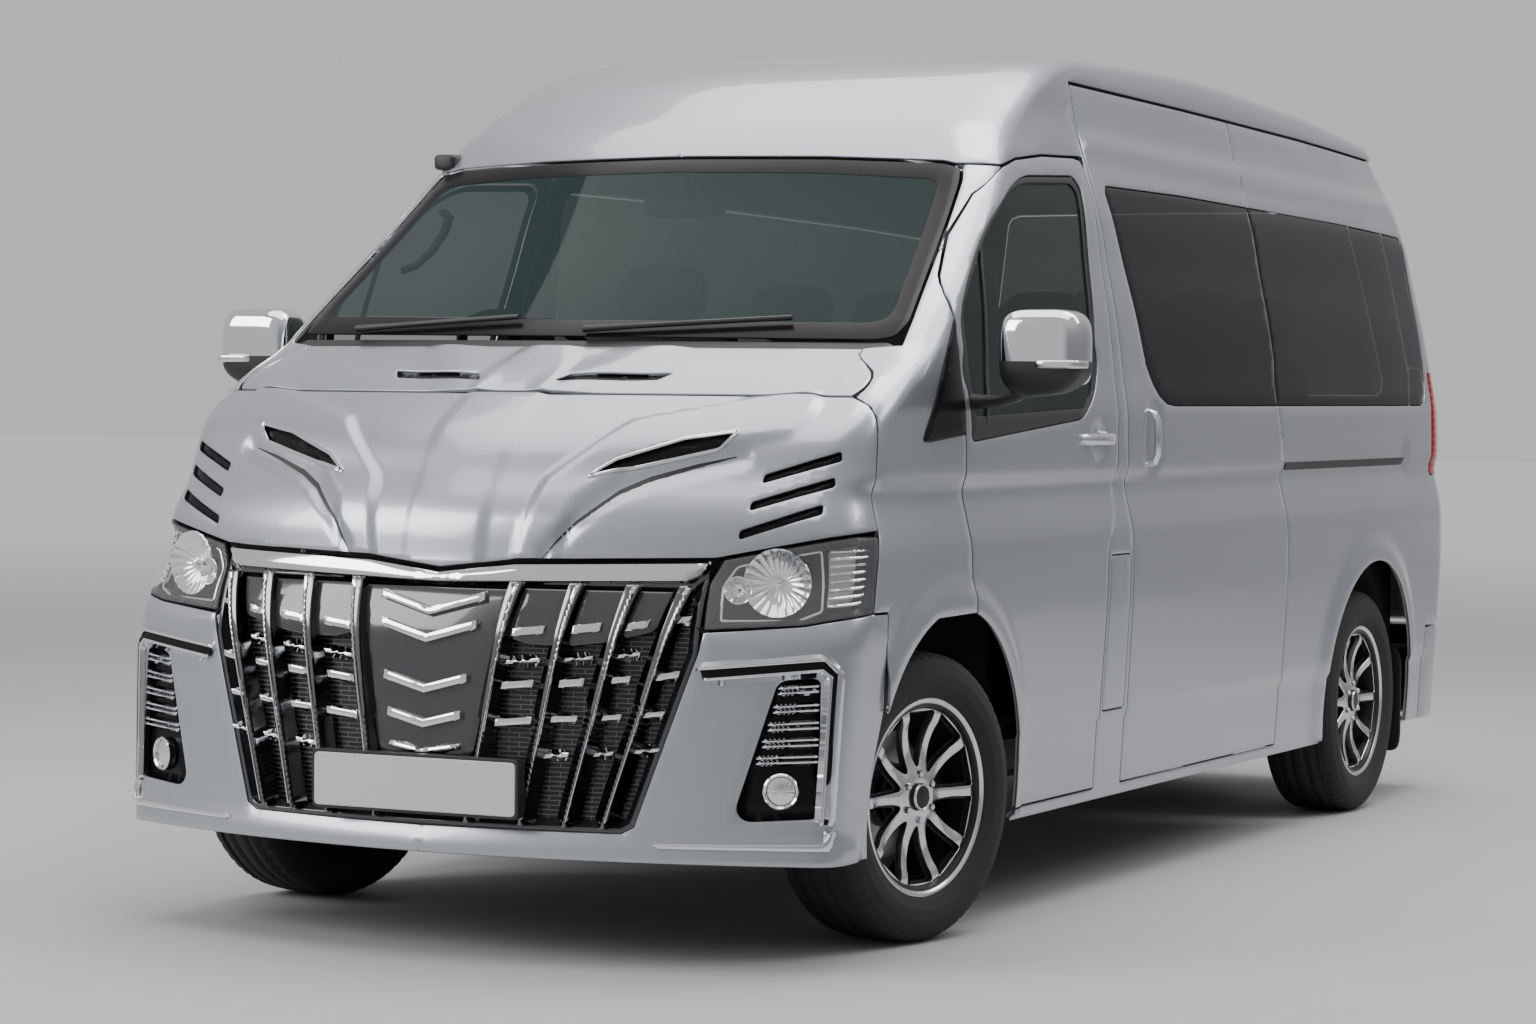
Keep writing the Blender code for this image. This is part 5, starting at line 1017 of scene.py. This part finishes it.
fogCentre, fogAxis = (0.818, -2.262, 0.405), (0.45, -0.89, 0.0)
fog = [gridMesh(turned(fogCentre, fogAxis, mm(-12, 40, 4, 40, 7, 37, 4, 33, -10, 30)), angle=40),
    (1, gridMesh(turned(fogCentre, fogAxis, mm(-2, 31, 1, 24, 3, 12, 3.5, 0.5), petals=16, wave=0.001)))]
mirrored(addPiece("fog_lamp_left", joinMeshes(fog), "body", "chrome bowl", "lamp"))
print("front end made")

# the headlamps: a dark tub, a faceted bowl, a chrome line round it, the ribbed turn lamp and the clear lens
lampLoop = mixed(("front", lampOutline), ("side", mm(-1994, 971, -2067, 792)), ("front", lampBottom))
lampLoop = offsetLoop(lampLoop, -0.002)


def tubLift(p, u, v):
    return 0.046 * step(1 - loopField(np.column_stack([u, v]), [lampLoop])[0] / 0.022)


mirrored(panel("lamp_tub_left", "body", [lampLoop], "gloss", "black", 0.003, sunk=0.05, roll=0, lift=tubLift,
    spacing=0.01, edge=0.006, replaces="headlamp_left"))
bowlCentre, bowlAxis = (0.776, -2.205, 0.858), (0.3, -0.95, 0.02)
t = np.linspace(0, 1, 12)
bowlProfile = [(0.03 * a * a - 0.028, 0.006 + 0.066 * a) for a in t] + mm(4, 75, 0, 77)
second = (0.7, -2.245, 0.842)
small = [(0.02 * a * a - 0.018, 0.003 + 0.026 * a) for a in t] + mm(3, 31, 0, 32)
lampParts = [gridMesh(turned(bowlCentre, bowlAxis, bowlProfile, 96, 24, 0.003), angle=25),
    gridMesh(turned(bowlCentre, bowlAxis, mm(-28, 12, -12, 14, -4, 10, -1, 0.5), 32)),
    gridMesh(turned(second, bowlAxis, small, 48, 12, 0.002), angle=25)]
mirrored(addPiece("lamp_bowls_left", joinMeshes(lampParts, 25), "body", "bowl", "chrome"))
lineOuter = onSkin("front", mm(672, 775, 664, 858, 690, 898, 866, 935, 886, 800, 840, 778), 0.01, 0.02)
mirrored(panel("lamp_line_left", "body", [lineOuter, offsetLoop(lineOuter, -0.006)], "chrome", "chrome",
    0.006, sunk=0.012, roll=0.002, spacing=0.02, edge=0.01))
ribs = []
for k in range(9):
    z = 0.812 + 0.0165 * k
    x0, x1 = 0.892 - 0.0016 * k, 0.942 - 0.0006 * k
    ribs.append(bandMesh([(x0, z), (x1, z + 0.004), (x1, z + 0.01), (x0, z + 0.006)], sunk=0.014, roll=0.002))
mirrored(addPiece("lamp_ribs_left", joinMeshes(ribs), "body", "bowl", "chrome"))
turnLoop = onSkin("front", mm(892, 815, 935, 822, 925, 955, 880, 940), 0.01, 0.02)
mirrored(panel("lamp_turn_left", "body", [turnLoop], "amber", "lamp", 0.002, sunk=0.026, roll=0,
    spacing=0.02))
mirrored(panel("lamp_rim_left", "body", [lampLoop, offsetLoop(lampLoop, -0.008)], "gloss", "black", 0.02,
    sunk=0.002, roll=0.002, spacing=0.02, edge=0.008))
mirrored(panel("lamp_lens_left", "body", [lampLoop], "lens", "lamp", 0, roll=0.005, spacing=0.02, edge=0.008))
print("lamps made")


# mirrors: a rounded shell, chrome above and black below, with the turn lens, the glass behind and the arm
def tintFaces(mesh, test):
    count = len(mesh.polygons)
    co = np.empty(count * 3)
    mesh.polygons.foreach_get("center", co)
    mesh.polygons.foreach_set("material_index", test(co.reshape(-1, 3)).astype(np.int32))
    return mesh


shell = block((0.988, -1.5, 1.276), (1.195, -1.364, 1.48), 4.2, (44, 64))
low = np.clip((1.34 - shell[..., 2]) / 0.07, 0, 1)
shell[..., 0] += 0.03 * low**2 * (1.09 - shell[..., 0]) / 0.105
shell[..., 1] += 0.02 * low**2 * (-1.43 - shell[..., 1]) / 0.07
shell[..., 2] += 0.012 * (shell[..., 0] - 1.09) / 0.105 * low
mirror = tintFaces(gridMesh(shell), lambda c: c[:, 2] < 1.352 + 0.1 * (1.195 - c[:, 0]))
mirrored(addPiece("mirror_shell_left", mirror, "door_left", "chrome satin", "chrome", replaces="mirror_left"))
mirrored(addPiece("mirror_turn_left", gridMesh(block((1.085, -1.506, 1.338), (1.199, -1.41, 1.362), 5,
    (16, 48))), "door_left", "bowl", "lamp"))
mirrored(addPiece("mirror_glass_left", gridMesh(block((1.008, -1.37, 1.3), (1.18, -1.359, 1.462), 6,
    (20, 40))), "door_left", "chrome", "chrome"))
arm = sweep(mm(902, -1425, 1262, 935, -1427, 1261, 975, -1430, 1263, 1015, -1432, 1274, 1050, -1432, 1292,
    size=3), ring(0.024, 20, 0.62), scale=[1.25, 1.1, 1.0, 1.0, 0.95])
mirrored(addPiece("mirror_arm_left", gridMesh(arm, caps=True), "door_left", "satin", "black"))

# handles: bars that lift off the door between their two ends
bar = sweep(mm(914, -757, 1165.5, 926, -750, 1165.5, 933, -725, 1165.5, 935, -655, 1165.5, 934, -590, 1165.5,
    927, -560, 1165.5, 914, -552, 1165.5, size=3), ring(0.015, 20, 0.62), up=(1, 0, 0),
    scale=[0.75, 0.95, 1, 1, 1.05, 1, 0.8])
mirrored(addPiece("door_handle_left", gridMesh(bar, caps=True), "door_left", "chrome", "chrome"))
bar = sweep(mm(906, -254, 1094, 924, -254, 1100, 933, -254, 1122, 934, -254, 1166, 932, -254, 1210,
    922, -254, 1232, 906, -254, 1238, size=3), ring(0.0155, 20, 0.55), up=(1, 0, 0),
    scale=[0.8, 0.95, 1, 1, 1, 0.95, 0.8])
addPiece("slider_handle", gridMesh(bar, caps=True), "body", "chrome", "chrome")
panel("rail_slot", "body", [onSkin("side", mm(852, 1062.5, 2004, 1062.5, 2022, 1084.5, 852, 1084.5))],
    "gloss", "black", 0, sunk=0.0045, roll=0, spacing=0.04)
addPiece("roof_sensor", gridMesh(block((-0.778, -1.12, 1.85), (-0.712, -1.045, 1.892), 5, (18, 32))), "body",
    "satin", "black")

# the tail: gate with its window and garnish, bumper, lamps and the mud flaps
gateHalf = mixed(("rear", mm(0, 547, 790, 547, 790, 1350, 690, 1940, 648, 2002, 0, 2002)),
    ("rear", mm(0, 1884, 556, 1880, 584, 1870, 600, 1848, 702, 1330, 698, 1296, 680, 1280, 0, 1277)))


def gateLift(p, u, v):
    x, z = np.abs(p[:, 0]), p[:, 2]
    recess = step((0.31 - x) / 0.02) * band(z, 0.775, 0.955, 0.02)
    fold = step(1 - np.abs(z - 1.19) / 0.02) * step((0.74 - x) / 0.03)
    return 0.003 * fold - 0.012 * recess


panel("tailgate_skin", "tailgate", [gateHalf], thick=0.02, replaces="tailgate", whole=True, lift=gateLift,
    spacing=0.025)
gateGlass = mixed(("rear", mm(0, 1280, 678, 1283, 696, 1298, 700, 1330, 598, 1846, 582, 1868, 555, 1877,
    0, 1881)))
panel("tailgate_glass_skin", "tailgate", [gateGlass], "privacy", "glass", 0, "tailgate_glass", True,
    sunk=0.002, roll=0.003)
garnish = mixed(("rear", mm(0, 962, 300, 962, 320, 975, 300, 992, 0, 992)))
panel("tailgate_garnish", "tailgate", [garnish], "chrome", "chrome", 0, whole=True, sunk=-0.006, roll=0.005,
    spacing=0.02)
rearHalf = mixed(("side", mm(2252, 537, 2340, 537)), ("rear", mm(830, 537, 0, 537)),
    ("rear", mm(0, 240, 860, 240)), ("side", mm(2330, 240, 2252, 240, 2252, 534)))


def rearLift(p, u, v):
    shelf = step((0.66 - np.abs(p[:, 0])) / 0.05) * step((p[:, 2] - 0.4) / 0.03) * (p[:, 1] > 2.3)
    return 0.036 * shelf + sideLift(p, u, v) * (p[:, 1] < 2.3)


panel("rear_bumper_skin", "body", [rearHalf], "paint satin", thick=0.016, replaces="rear_bumper", whole=True,
    lift=rearLift, spacing=0.025)
tailLoop = mixed(("side", mm(2330.5, 1030.5, 2330.5, 1359.5)), ("rear", mm(791.5, 1371.5, 795.5, 1011.5)))
mirrored(panel("tail_lamp_skin_left", "body", [tailLoop], "red", "red", 0.02, sunk=-0.003, roll=0.006,
    spacing=0.02, replaces="tail_lamp_left"))
mirrored(addPiece("mud_flap_left", gridMesh(block((0.7, 2.04, 0.15), (0.905, 2.052, 0.48), 8, (12, 24))),
    "body", "satin", "black"))

# the wiper arms and blades at the foot of the windscreen
wipers = []
for x0, x1 in ((-0.62, -0.14), (0.06, 0.56)):
    path = [surfaceAt(np.array([u]), np.array([v]))[0] + normalAt(np.array([u]), np.array([v]))[0] * 0.01
        for u, v in [locate("front", x0 + (x1 - x0) * t, 1.416 + 0.03 * t) for t in np.linspace(0, 1, 9)]]
    wipers.append(gridMesh(sweep(path, ring(0.0085, 10, 0.8), scale=[1.3, 1.2] + [1] * 7), caps=True))
addPiece("wipers", joinMeshes(wipers), "body", "satin", "black")
print("mirrors, handles and tail made")


# a wheel's own coordinates (outward, along, up), turned by its steer and moved to its centre
def wheelPlace(points, centre, steer, sign):
    x, y = points[..., 0] * sign, points[..., 1]
    out = np.empty_like(points)
    out[..., 0] = centre[0] + x * cos(steer) - y * sin(steer)
    out[..., 1] = centre[1] + x * sin(steer) + y * cos(steer)
    out[..., 2] = centre[2] + points[..., 2]
    return out


tyreLine = mm(-85, 222.5, -100, 236, -112.5, 262, -114.5, 288, -108, 312, -98, 327.5, -86, 335.5, -60, 338.8,
    0, 340, 60, 338.8, 86, 335.5, 98, 327.5, 108, 312, 114.5, 288, 112.5, 262, 100, 236, 85, 222.5)


# the tyre: its section turned about the axle, less four grooves round it and short cuts on each shoulder
def tyrePoints(turns=260, along=110):
    line = np.array(tyreLine)
    t = np.linspace(0, len(line) - 1, along)
    a, r = np.interp(t, np.arange(len(line)), line[:, 0]), np.interp(t, np.arange(len(line)), line[:, 1])
    angle = np.linspace(0, 2 * pi, turns, endpoint=False)
    depth = sum((0.0065 * step((0.0055 - np.abs(a - c)) / 0.002)
        for c in (-0.06, -0.021, 0.021, 0.06))) * (r > 0.32)
    cut = step((np.sin(angle * 65) - 0.55) / 0.2)
    shoulder = 0.004 * step((np.abs(a) - 0.066) / 0.004) * step((r - 0.318) / 0.004)
    rr = r[None] - depth[None] - cut[:, None] * shoulder[None]
    return np.dstack([np.repeat(a[None], turns, 0), rr * np.cos(angle)[:, None], rr * np.sin(angle)[:, None]])


def faceDepth(r):
    return 0.075 - 0.012 * np.sin(pi * np.clip((r - 0.05) / 0.13, 0, 1)) + 0.006 * step((r - 0.165) / 0.035)


def wheelSurface(back):

    def surface(u, v):
        r = np.hypot(u, v)
        e = 0.001
        slope = (faceDepth(r + e) - faceDepth(r - e)) / (2 * e)
        n = np.column_stack([np.ones_like(u), -slope * u / np.maximum(r, 1e-06),
            -slope * v / np.maximum(r, 1e-06)])
        return np.column_stack([faceDepth(r) - back, u, v]), n / np.linalg.norm(n, axis=1)[:, None]
    return surface


def spokeLoops(outer, table):
    circle = [(outer * cos(a), outer * sin(a)) for a in np.linspace(0, 2 * pi, 120, endpoint=False)]
    loops = [np.array(circle)]
    table = np.array(table)
    for k in range(10):
        angle = radians(36 * k + 18)
        side = [(r, h) for r, h in zip(table[:, 0], table[:, 1])]
        outline = rounded([(r, h) for r, h in side] + [(r, -h) for r, h in side[::-1]], 0.008)
        loops.append(np.array([(a * cos(angle) - b * sin(angle), a * sin(angle) + b * cos(angle)) for a,
            b in outline]))
    return loops


def wheelMesh(centre, steer, sign, kind):
    parts = []

    def put(slot, mesh):
        co = np.empty(len(mesh.vertices) * 3)
        mesh.vertices.foreach_get("co", co)
        co = co.reshape(-1, 3)
        co[:, 1] += lengthShift
        co = wheelPlace(co, centre, steer, sign)
        co[:, 1] -= lengthShift
        mesh.vertices.foreach_set("co", co.ravel())
        if sign < 0:
            mesh.flip_normals()
        parts.append((slot, mesh))
    if kind == "tyre":
        put(0, gridMesh(tyrePoints()[:, ::-1], aroundU=True, aroundV=False))
        return joinMeshes(parts, 40)
    axis = (1, 0, 0)
    verts, faces, _ = sheet(spokeLoops(0.2075, mm(70, 5, 90, 15.5, 140, 34, 201, 51.5)), spacing=0.012,
        roll=0.0015, edge=0.006, surface=wheelSurface(0.0))
    put(0, makeMesh(verts, faces))
    verts, faces, _ = sheet(spokeLoops(0.207, mm(80, 3.5, 100, 12, 140, 27, 196, 43)), spacing=0.014,
        roll=0.0015, edge=0.008, surface=wheelSurface(0.013))
    put(1, makeMesh(verts, faces))
    for slot, count, profile in (
            (1, 120, mm(71, 207, 81, 208.5, 89.5, 212.5, 93, 219)),
            (0, 120, mm(93, 219, 97.5, 223.5, 98.5, 228, 97, 231.5, 92.5, 231.8)),
            (1, 90, mm(-92, 230, -88, 215, -30, 199, 40, 199, 71, 207)),
            (1, 48, mm(70, 34, 81.5, 32.5, 85.5, 29, 86.5, 15, 87, 0.5)),
            (0, 48, mm(83.5, 32.5, 87, 30.5, 87.2, 27.5, 85.8, 26.2))):
        put(slot, gridMesh(turned((0, 0, 0), axis, profile, count)))
    for k in range(6):
        a = radians(60 * k + 30)
        nut = (faceDepth(0.054), 0.054 * cos(a), 0.054 * sin(a))
        put(0, gridMesh(turned(nut, axis, mm(-4, 9.2, 5.5, 8.8, 8.5, 6.6, 9, 0.4), 6), angle=20))
    return joinMeshes(parts, 35)


steerRest = radians(-11.8)
wheelPlaces = {"front_left": ((0.7986, -1.6233, 0.34), steerRest, 1, "knuckle_left"),
    "front_right": ((-0.7986, -1.5967, 0.34), steerRest, -1, "knuckle_right"),
    "rear_left": ((0.8, 1.637, 0.34), 0.0, 1, "body"), "rear_right": ((-0.8, 1.637, 0.34), 0.0, -1, "body")}
for place, (centre, steer, sign, holder) in wheelPlaces.items():
    addPiece(f"tyre_skin_{place}", wheelMesh(centre, steer, sign, "tyre"), f"wheel_{place}", "tyre", "tyre",
        replaces=f"tyre_{place}")
    addPiece(f"rim_skin_{place}", wheelMesh(centre, steer, sign, "rim"), f"wheel_{place}",
        "alloy pocket", "alloy", replaces=f"rim_{place}")
    disc = turned((0, 0, 0), (1, 0, 0), mm(-46, 60, -46, 152, -28, 152, -28, 78, 0, 74, 2, 30), 90)
    mesh = gridMesh(wheelPlace(disc, centre, steer, sign))
    if sign < 0:
        mesh.flip_normals()
    addPiece(f"brake_disc_{place}", mesh, holder, "disc", "steel")
print("wheels made")


# the cabin: soft seats, each a crowned cushion and rest with sewn channels, and a hooded dashboard
def pad(low, high, face, channels, tilt=0.0, pivot=(0, 0, 0), power=5.0):
    points = block(low, high, power, (30, 52))
    centre, half = (np.array(low) + high) / 2, (np.array(high) - low) / 2
    local = (points - centre) / half
    crown = np.clip(1 - local[..., 0] ** 2, 0, 1) * np.clip(1 - local[..., 2 if face == 1 else 1] ** 2, 0, 1)
    side = 1.0 if face == 2 else -1.0
    shown = step(local[..., face] * side * 3)
    sewn = sum((np.exp(-((points[..., 0] - c) / 0.007)**2) for c in channels))
    points[..., face] += side * shown * (0.012 * crown - 0.009 * sewn)
    if tilt:
        y, z = points[..., 1] - pivot[1], points[..., 2] - pivot[2]
        points[..., 1] = pivot[1] + y * cos(tilt) + z * sin(tilt)
        points[..., 2] = pivot[2] - y * sin(tilt) + z * cos(tilt)
    return gridMesh(points)


def seatPiece(name, x, half, y, low, cushion, depth, rest, thick, lean, heads):
    back, top = y + depth - 0.01, low + cushion
    if len(heads) == 1:
        channels = [x - half * 0.58, x + half * 0.58]
    else:
        channels = [c + d for c in heads for d in (-half * 0.2, half * 0.2)] + [-half / 3, half / 3]
    parts = [pad((x - half, y - depth - 0.01, low), (x + half, y + depth, top - 0.008), 2, channels)]
    pivot = (x, back - 0.01, top - 0.05)
    parts.append(pad((x - half, pivot[1] - thick / 2, pivot[2]), (x + half, pivot[1] + thick / 2,
        pivot[2] + rest), 1, channels, lean, pivot))
    for c in heads:
        parts.append(pad((c - 0.13, pivot[1] - 0.045, pivot[2] + rest - 0.015),
            (c + 0.13, pivot[1] + 0.04, pivot[2] + rest + 0.15), 1, [], lean * 0.9, pivot, 3.4))
    obj = addPiece(f"{name}_pads", joinMeshes(parts), "body", "cloth", "cloth", replaces=name)


seatPiece("seat_driver", -0.43, 0.248, -0.838, 0.845, 0.17, 0.255, 0.52, 0.115, radians(14), (-0.43,))
seatPiece("seat_passenger", 0.43, 0.248, -0.838, 0.845, 0.17, 0.255, 0.52, 0.115, radians(14), (0.43,))
for name, y, half in (("bench_front", 0.168, 0.755), ("bench_middle", 0.888, 0.755),
        ("bench_rear", 1.748, 0.575)):
    seatPiece(name, 0.0, half, y, 0.752, 0.14, 0.235, 0.61, 0.1, radians(12),
        (-0.68 * half, 0.0, 0.68 * half))
    legs = [gridMesh(block((x - 0.03, y - 0.15, 0.472), (x + 0.03, y + 0.15, 0.76), 8,
        (12, 24))) for x in (-0.45, 0.45)]
    legs.append(gridMesh(block((-half + 0.03, y - 0.2, 0.735), (half - 0.03, y + 0.2, 0.765), 8, (12, 32))))
    addPiece(f"{name}_base", joinMeshes(legs), "body", "satin", "black")
dashLine = mm(-1672, 1245, -1640, 1300, -1560, 1332, -1450, 1342, -1372, 1340, -1338, 1320, -1332, 1285,
    -1352, 1220, -1340, 1190, -1345, 1120, -1380, 1062, -1500, 1055, -1640, 1060)
line = np.array(dashLine)
t = np.linspace(0, len(line), 78, endpoint=False)
closed = np.vstack([line, line[:1]])
x = np.linspace(-0.8, 0.8, 90)
dash = np.empty((len(x), len(t), 3))
dash[..., 0] = x[:, None]
dash[..., 1] = np.interp(t, np.arange(len(closed)), closed[:, 0])[None]
dash[..., 2] = np.interp(t, np.arange(len(closed)), closed[:, 1])[None]
hood = np.exp(-((x + 0.43) / 0.15)**4)[:, None] * step((dash[..., 2] - 1.28) / 0.04)
hood = hood * step((dash[..., 1] + 1.54) / 0.08)
dash[..., 2] += 0.014 * hood
stack = np.exp(-(x / 0.17)**6)[:, None] * step((1.3 - dash[..., 2]) / 0.03)
stack = stack * step((dash[..., 1] + 1.45) / 0.05)
dash[..., 1] += 0.022 * stack
addPiece("dashboard_skin", gridMesh(dash[:, ::-1], caps=True), "body", "trim", "trim", replaces="dashboard")
columnAxis = np.array([0.0, np.sin(radians(35)), np.cos(radians(35))])
hub = np.array([-0.43, -1.1925, 1.36])
rimLine = [(0.0145 * np.sin(a), 0.1885 + 0.0145 * np.cos(a)) for a in np.linspace(0, 2 * pi, 17)]
wheelParts = [gridMesh(turned(hub, columnAxis, rimLine, 96)), gridMesh(turned(hub, columnAxis,
    mm(-55, 34, -40, 55, -20, 70, -4, 66, 4, 48, 6, 1), 48))]
across, upward = np.array([1.0, 0, 0]), np.cross(columnAxis, [1.0, 0, 0])
for angle in (0, 180, 270):
    out = across * cos(radians(angle)) + upward * sin(radians(angle))
    path = [hub + out * r - columnAxis * d for r, d in ((0.045, 0.016), (0.09, 0.016), (0.14, 0.008),
        (0.184, 0.0))]
    wheelParts.append(gridMesh(sweep(path, ring(0.02, 16, 0.42), up=columnAxis, scale=[1.3, 1.0, 0.8, 0.75]),
        caps=True))
addPiece("steering_wheel_skin", joinMeshes(wheelParts), "steering_wheel", "satin", "black",
    replaces="steering_wheel")
grab = mm(-772, -1280, 1580, -738, -1262, 1595, -718, -1215, 1635, -712, -1165, 1685, -722, -1125, 1725,
    -752, -1105, 1740, size=3)
addPiece("grab_handle", gridMesh(sweep(grab, ring(0.0125, 14, 0.8)), caps=True), "body", "lining", "trim")
insideMirror = [gridMesh(block((-0.115, -1.19, 1.715), (0.115, -1.16, 1.775), 4, (20, 40))),
    gridMesh(block((-0.045, -1.215, 1.765), (0.045, -1.15, 1.835), 4, (16, 28)))]
addPiece("inside_mirror", joinMeshes(insideMirror), "body", "satin", "black")
print("cabin made")

# what the solids already show right keeps its shape and takes a better material
looks = {"chassis_frame": "under", "fuel_tank": "under", "floor_pan": "under", "spare_wheel": "tyre",
    "front_axle": "iron", "rear_axle": "iron", "knuckle_left": "iron", "knuckle_right": "iron",
    "engine": "iron", "exhaust": "iron"}
for name, look in looks.items():
    for place in frame["nodes"][name].material_slots:
        place.material = materials[look]
print("kept nodes given materials", len(looks))


# the studio: a pale floor that fades into the backdrop, and soft light from large lamps
def addFloor():
    mesh = bpy.data.meshes.new("floor")
    mesh.from_pydata([(-60, -60, 0), (60, -60, 0), (60, 60, 0), (-60, 60, 0)], [], [(0, 1, 2, 3)])
    obj = bpy.data.objects.new("floor", mesh)
    bpy.context.scene.collection.objects.link(obj)
    obj.data.materials.append(materials["floor"])
    return obj


def addLamp(name, place, aim, size, power, colour=(1, 1, 1)):
    data = bpy.data.lights.new(name, "AREA")
    data.shape = "RECTANGLE"
    data.size, data.size_y, data.energy, data.color = size[0], size[1], power, colour
    obj = bpy.data.objects.new(name, data)
    obj.location = place
    obj.rotation_euler = (Vector(aim) - Vector(place)).to_track_quat("-Z", "Y").to_euler()
    bpy.context.scene.collection.objects.link(obj)
    return obj


floor = addFloor()
lamps = [addLamp("overhead", (0, -0.5, 6.5), (0, -0.3, 0), (7, 9), 430),
    addLamp("key", (-5.5, -7.5, 4.8), (0, -1.5, 1.0), (5, 4), 420), addLamp("side_light", (3.4, 2.0, 6.6),
    (0.9, 1.0, 1.9), (3, 8), 300)]
world = bpy.data.worlds.new("studio")
bpy.context.scene.world = world
world.use_nodes = True

# the room is light, and shaded low down on the side that the open flank reflects
sky = world.node_tree
direction = sky.nodes.new("ShaderNodeSeparateXYZ")
sky.links.new(sky.nodes.new("ShaderNodeTexCoord").outputs["Object"], direction.inputs[0])
sideways, upwards = Wire(sky, direction.outputs[0]), Wire(sky, direction.outputs[2])
low = (sideways * 2.6).clipped(0.0, 1.0) * (1.0 - (upwards * 1.8).clipped(0.0, 1.0))
blendNode = sky.nodes.new("ShaderNodeMix")
blendNode.data_type = "RGBA"
plug(sky, blendNode.inputs[0], low)
blendNode.inputs[6].default_value, blendNode.inputs[7].default_value = (*studioLight, 1), (*studioShade, 1)
sky.links.new(blendNode.outputs[2], sky.nodes["Background"].inputs[0])
sky.nodes["Background"].inputs[1].default_value = 1.0

print("scene finished")
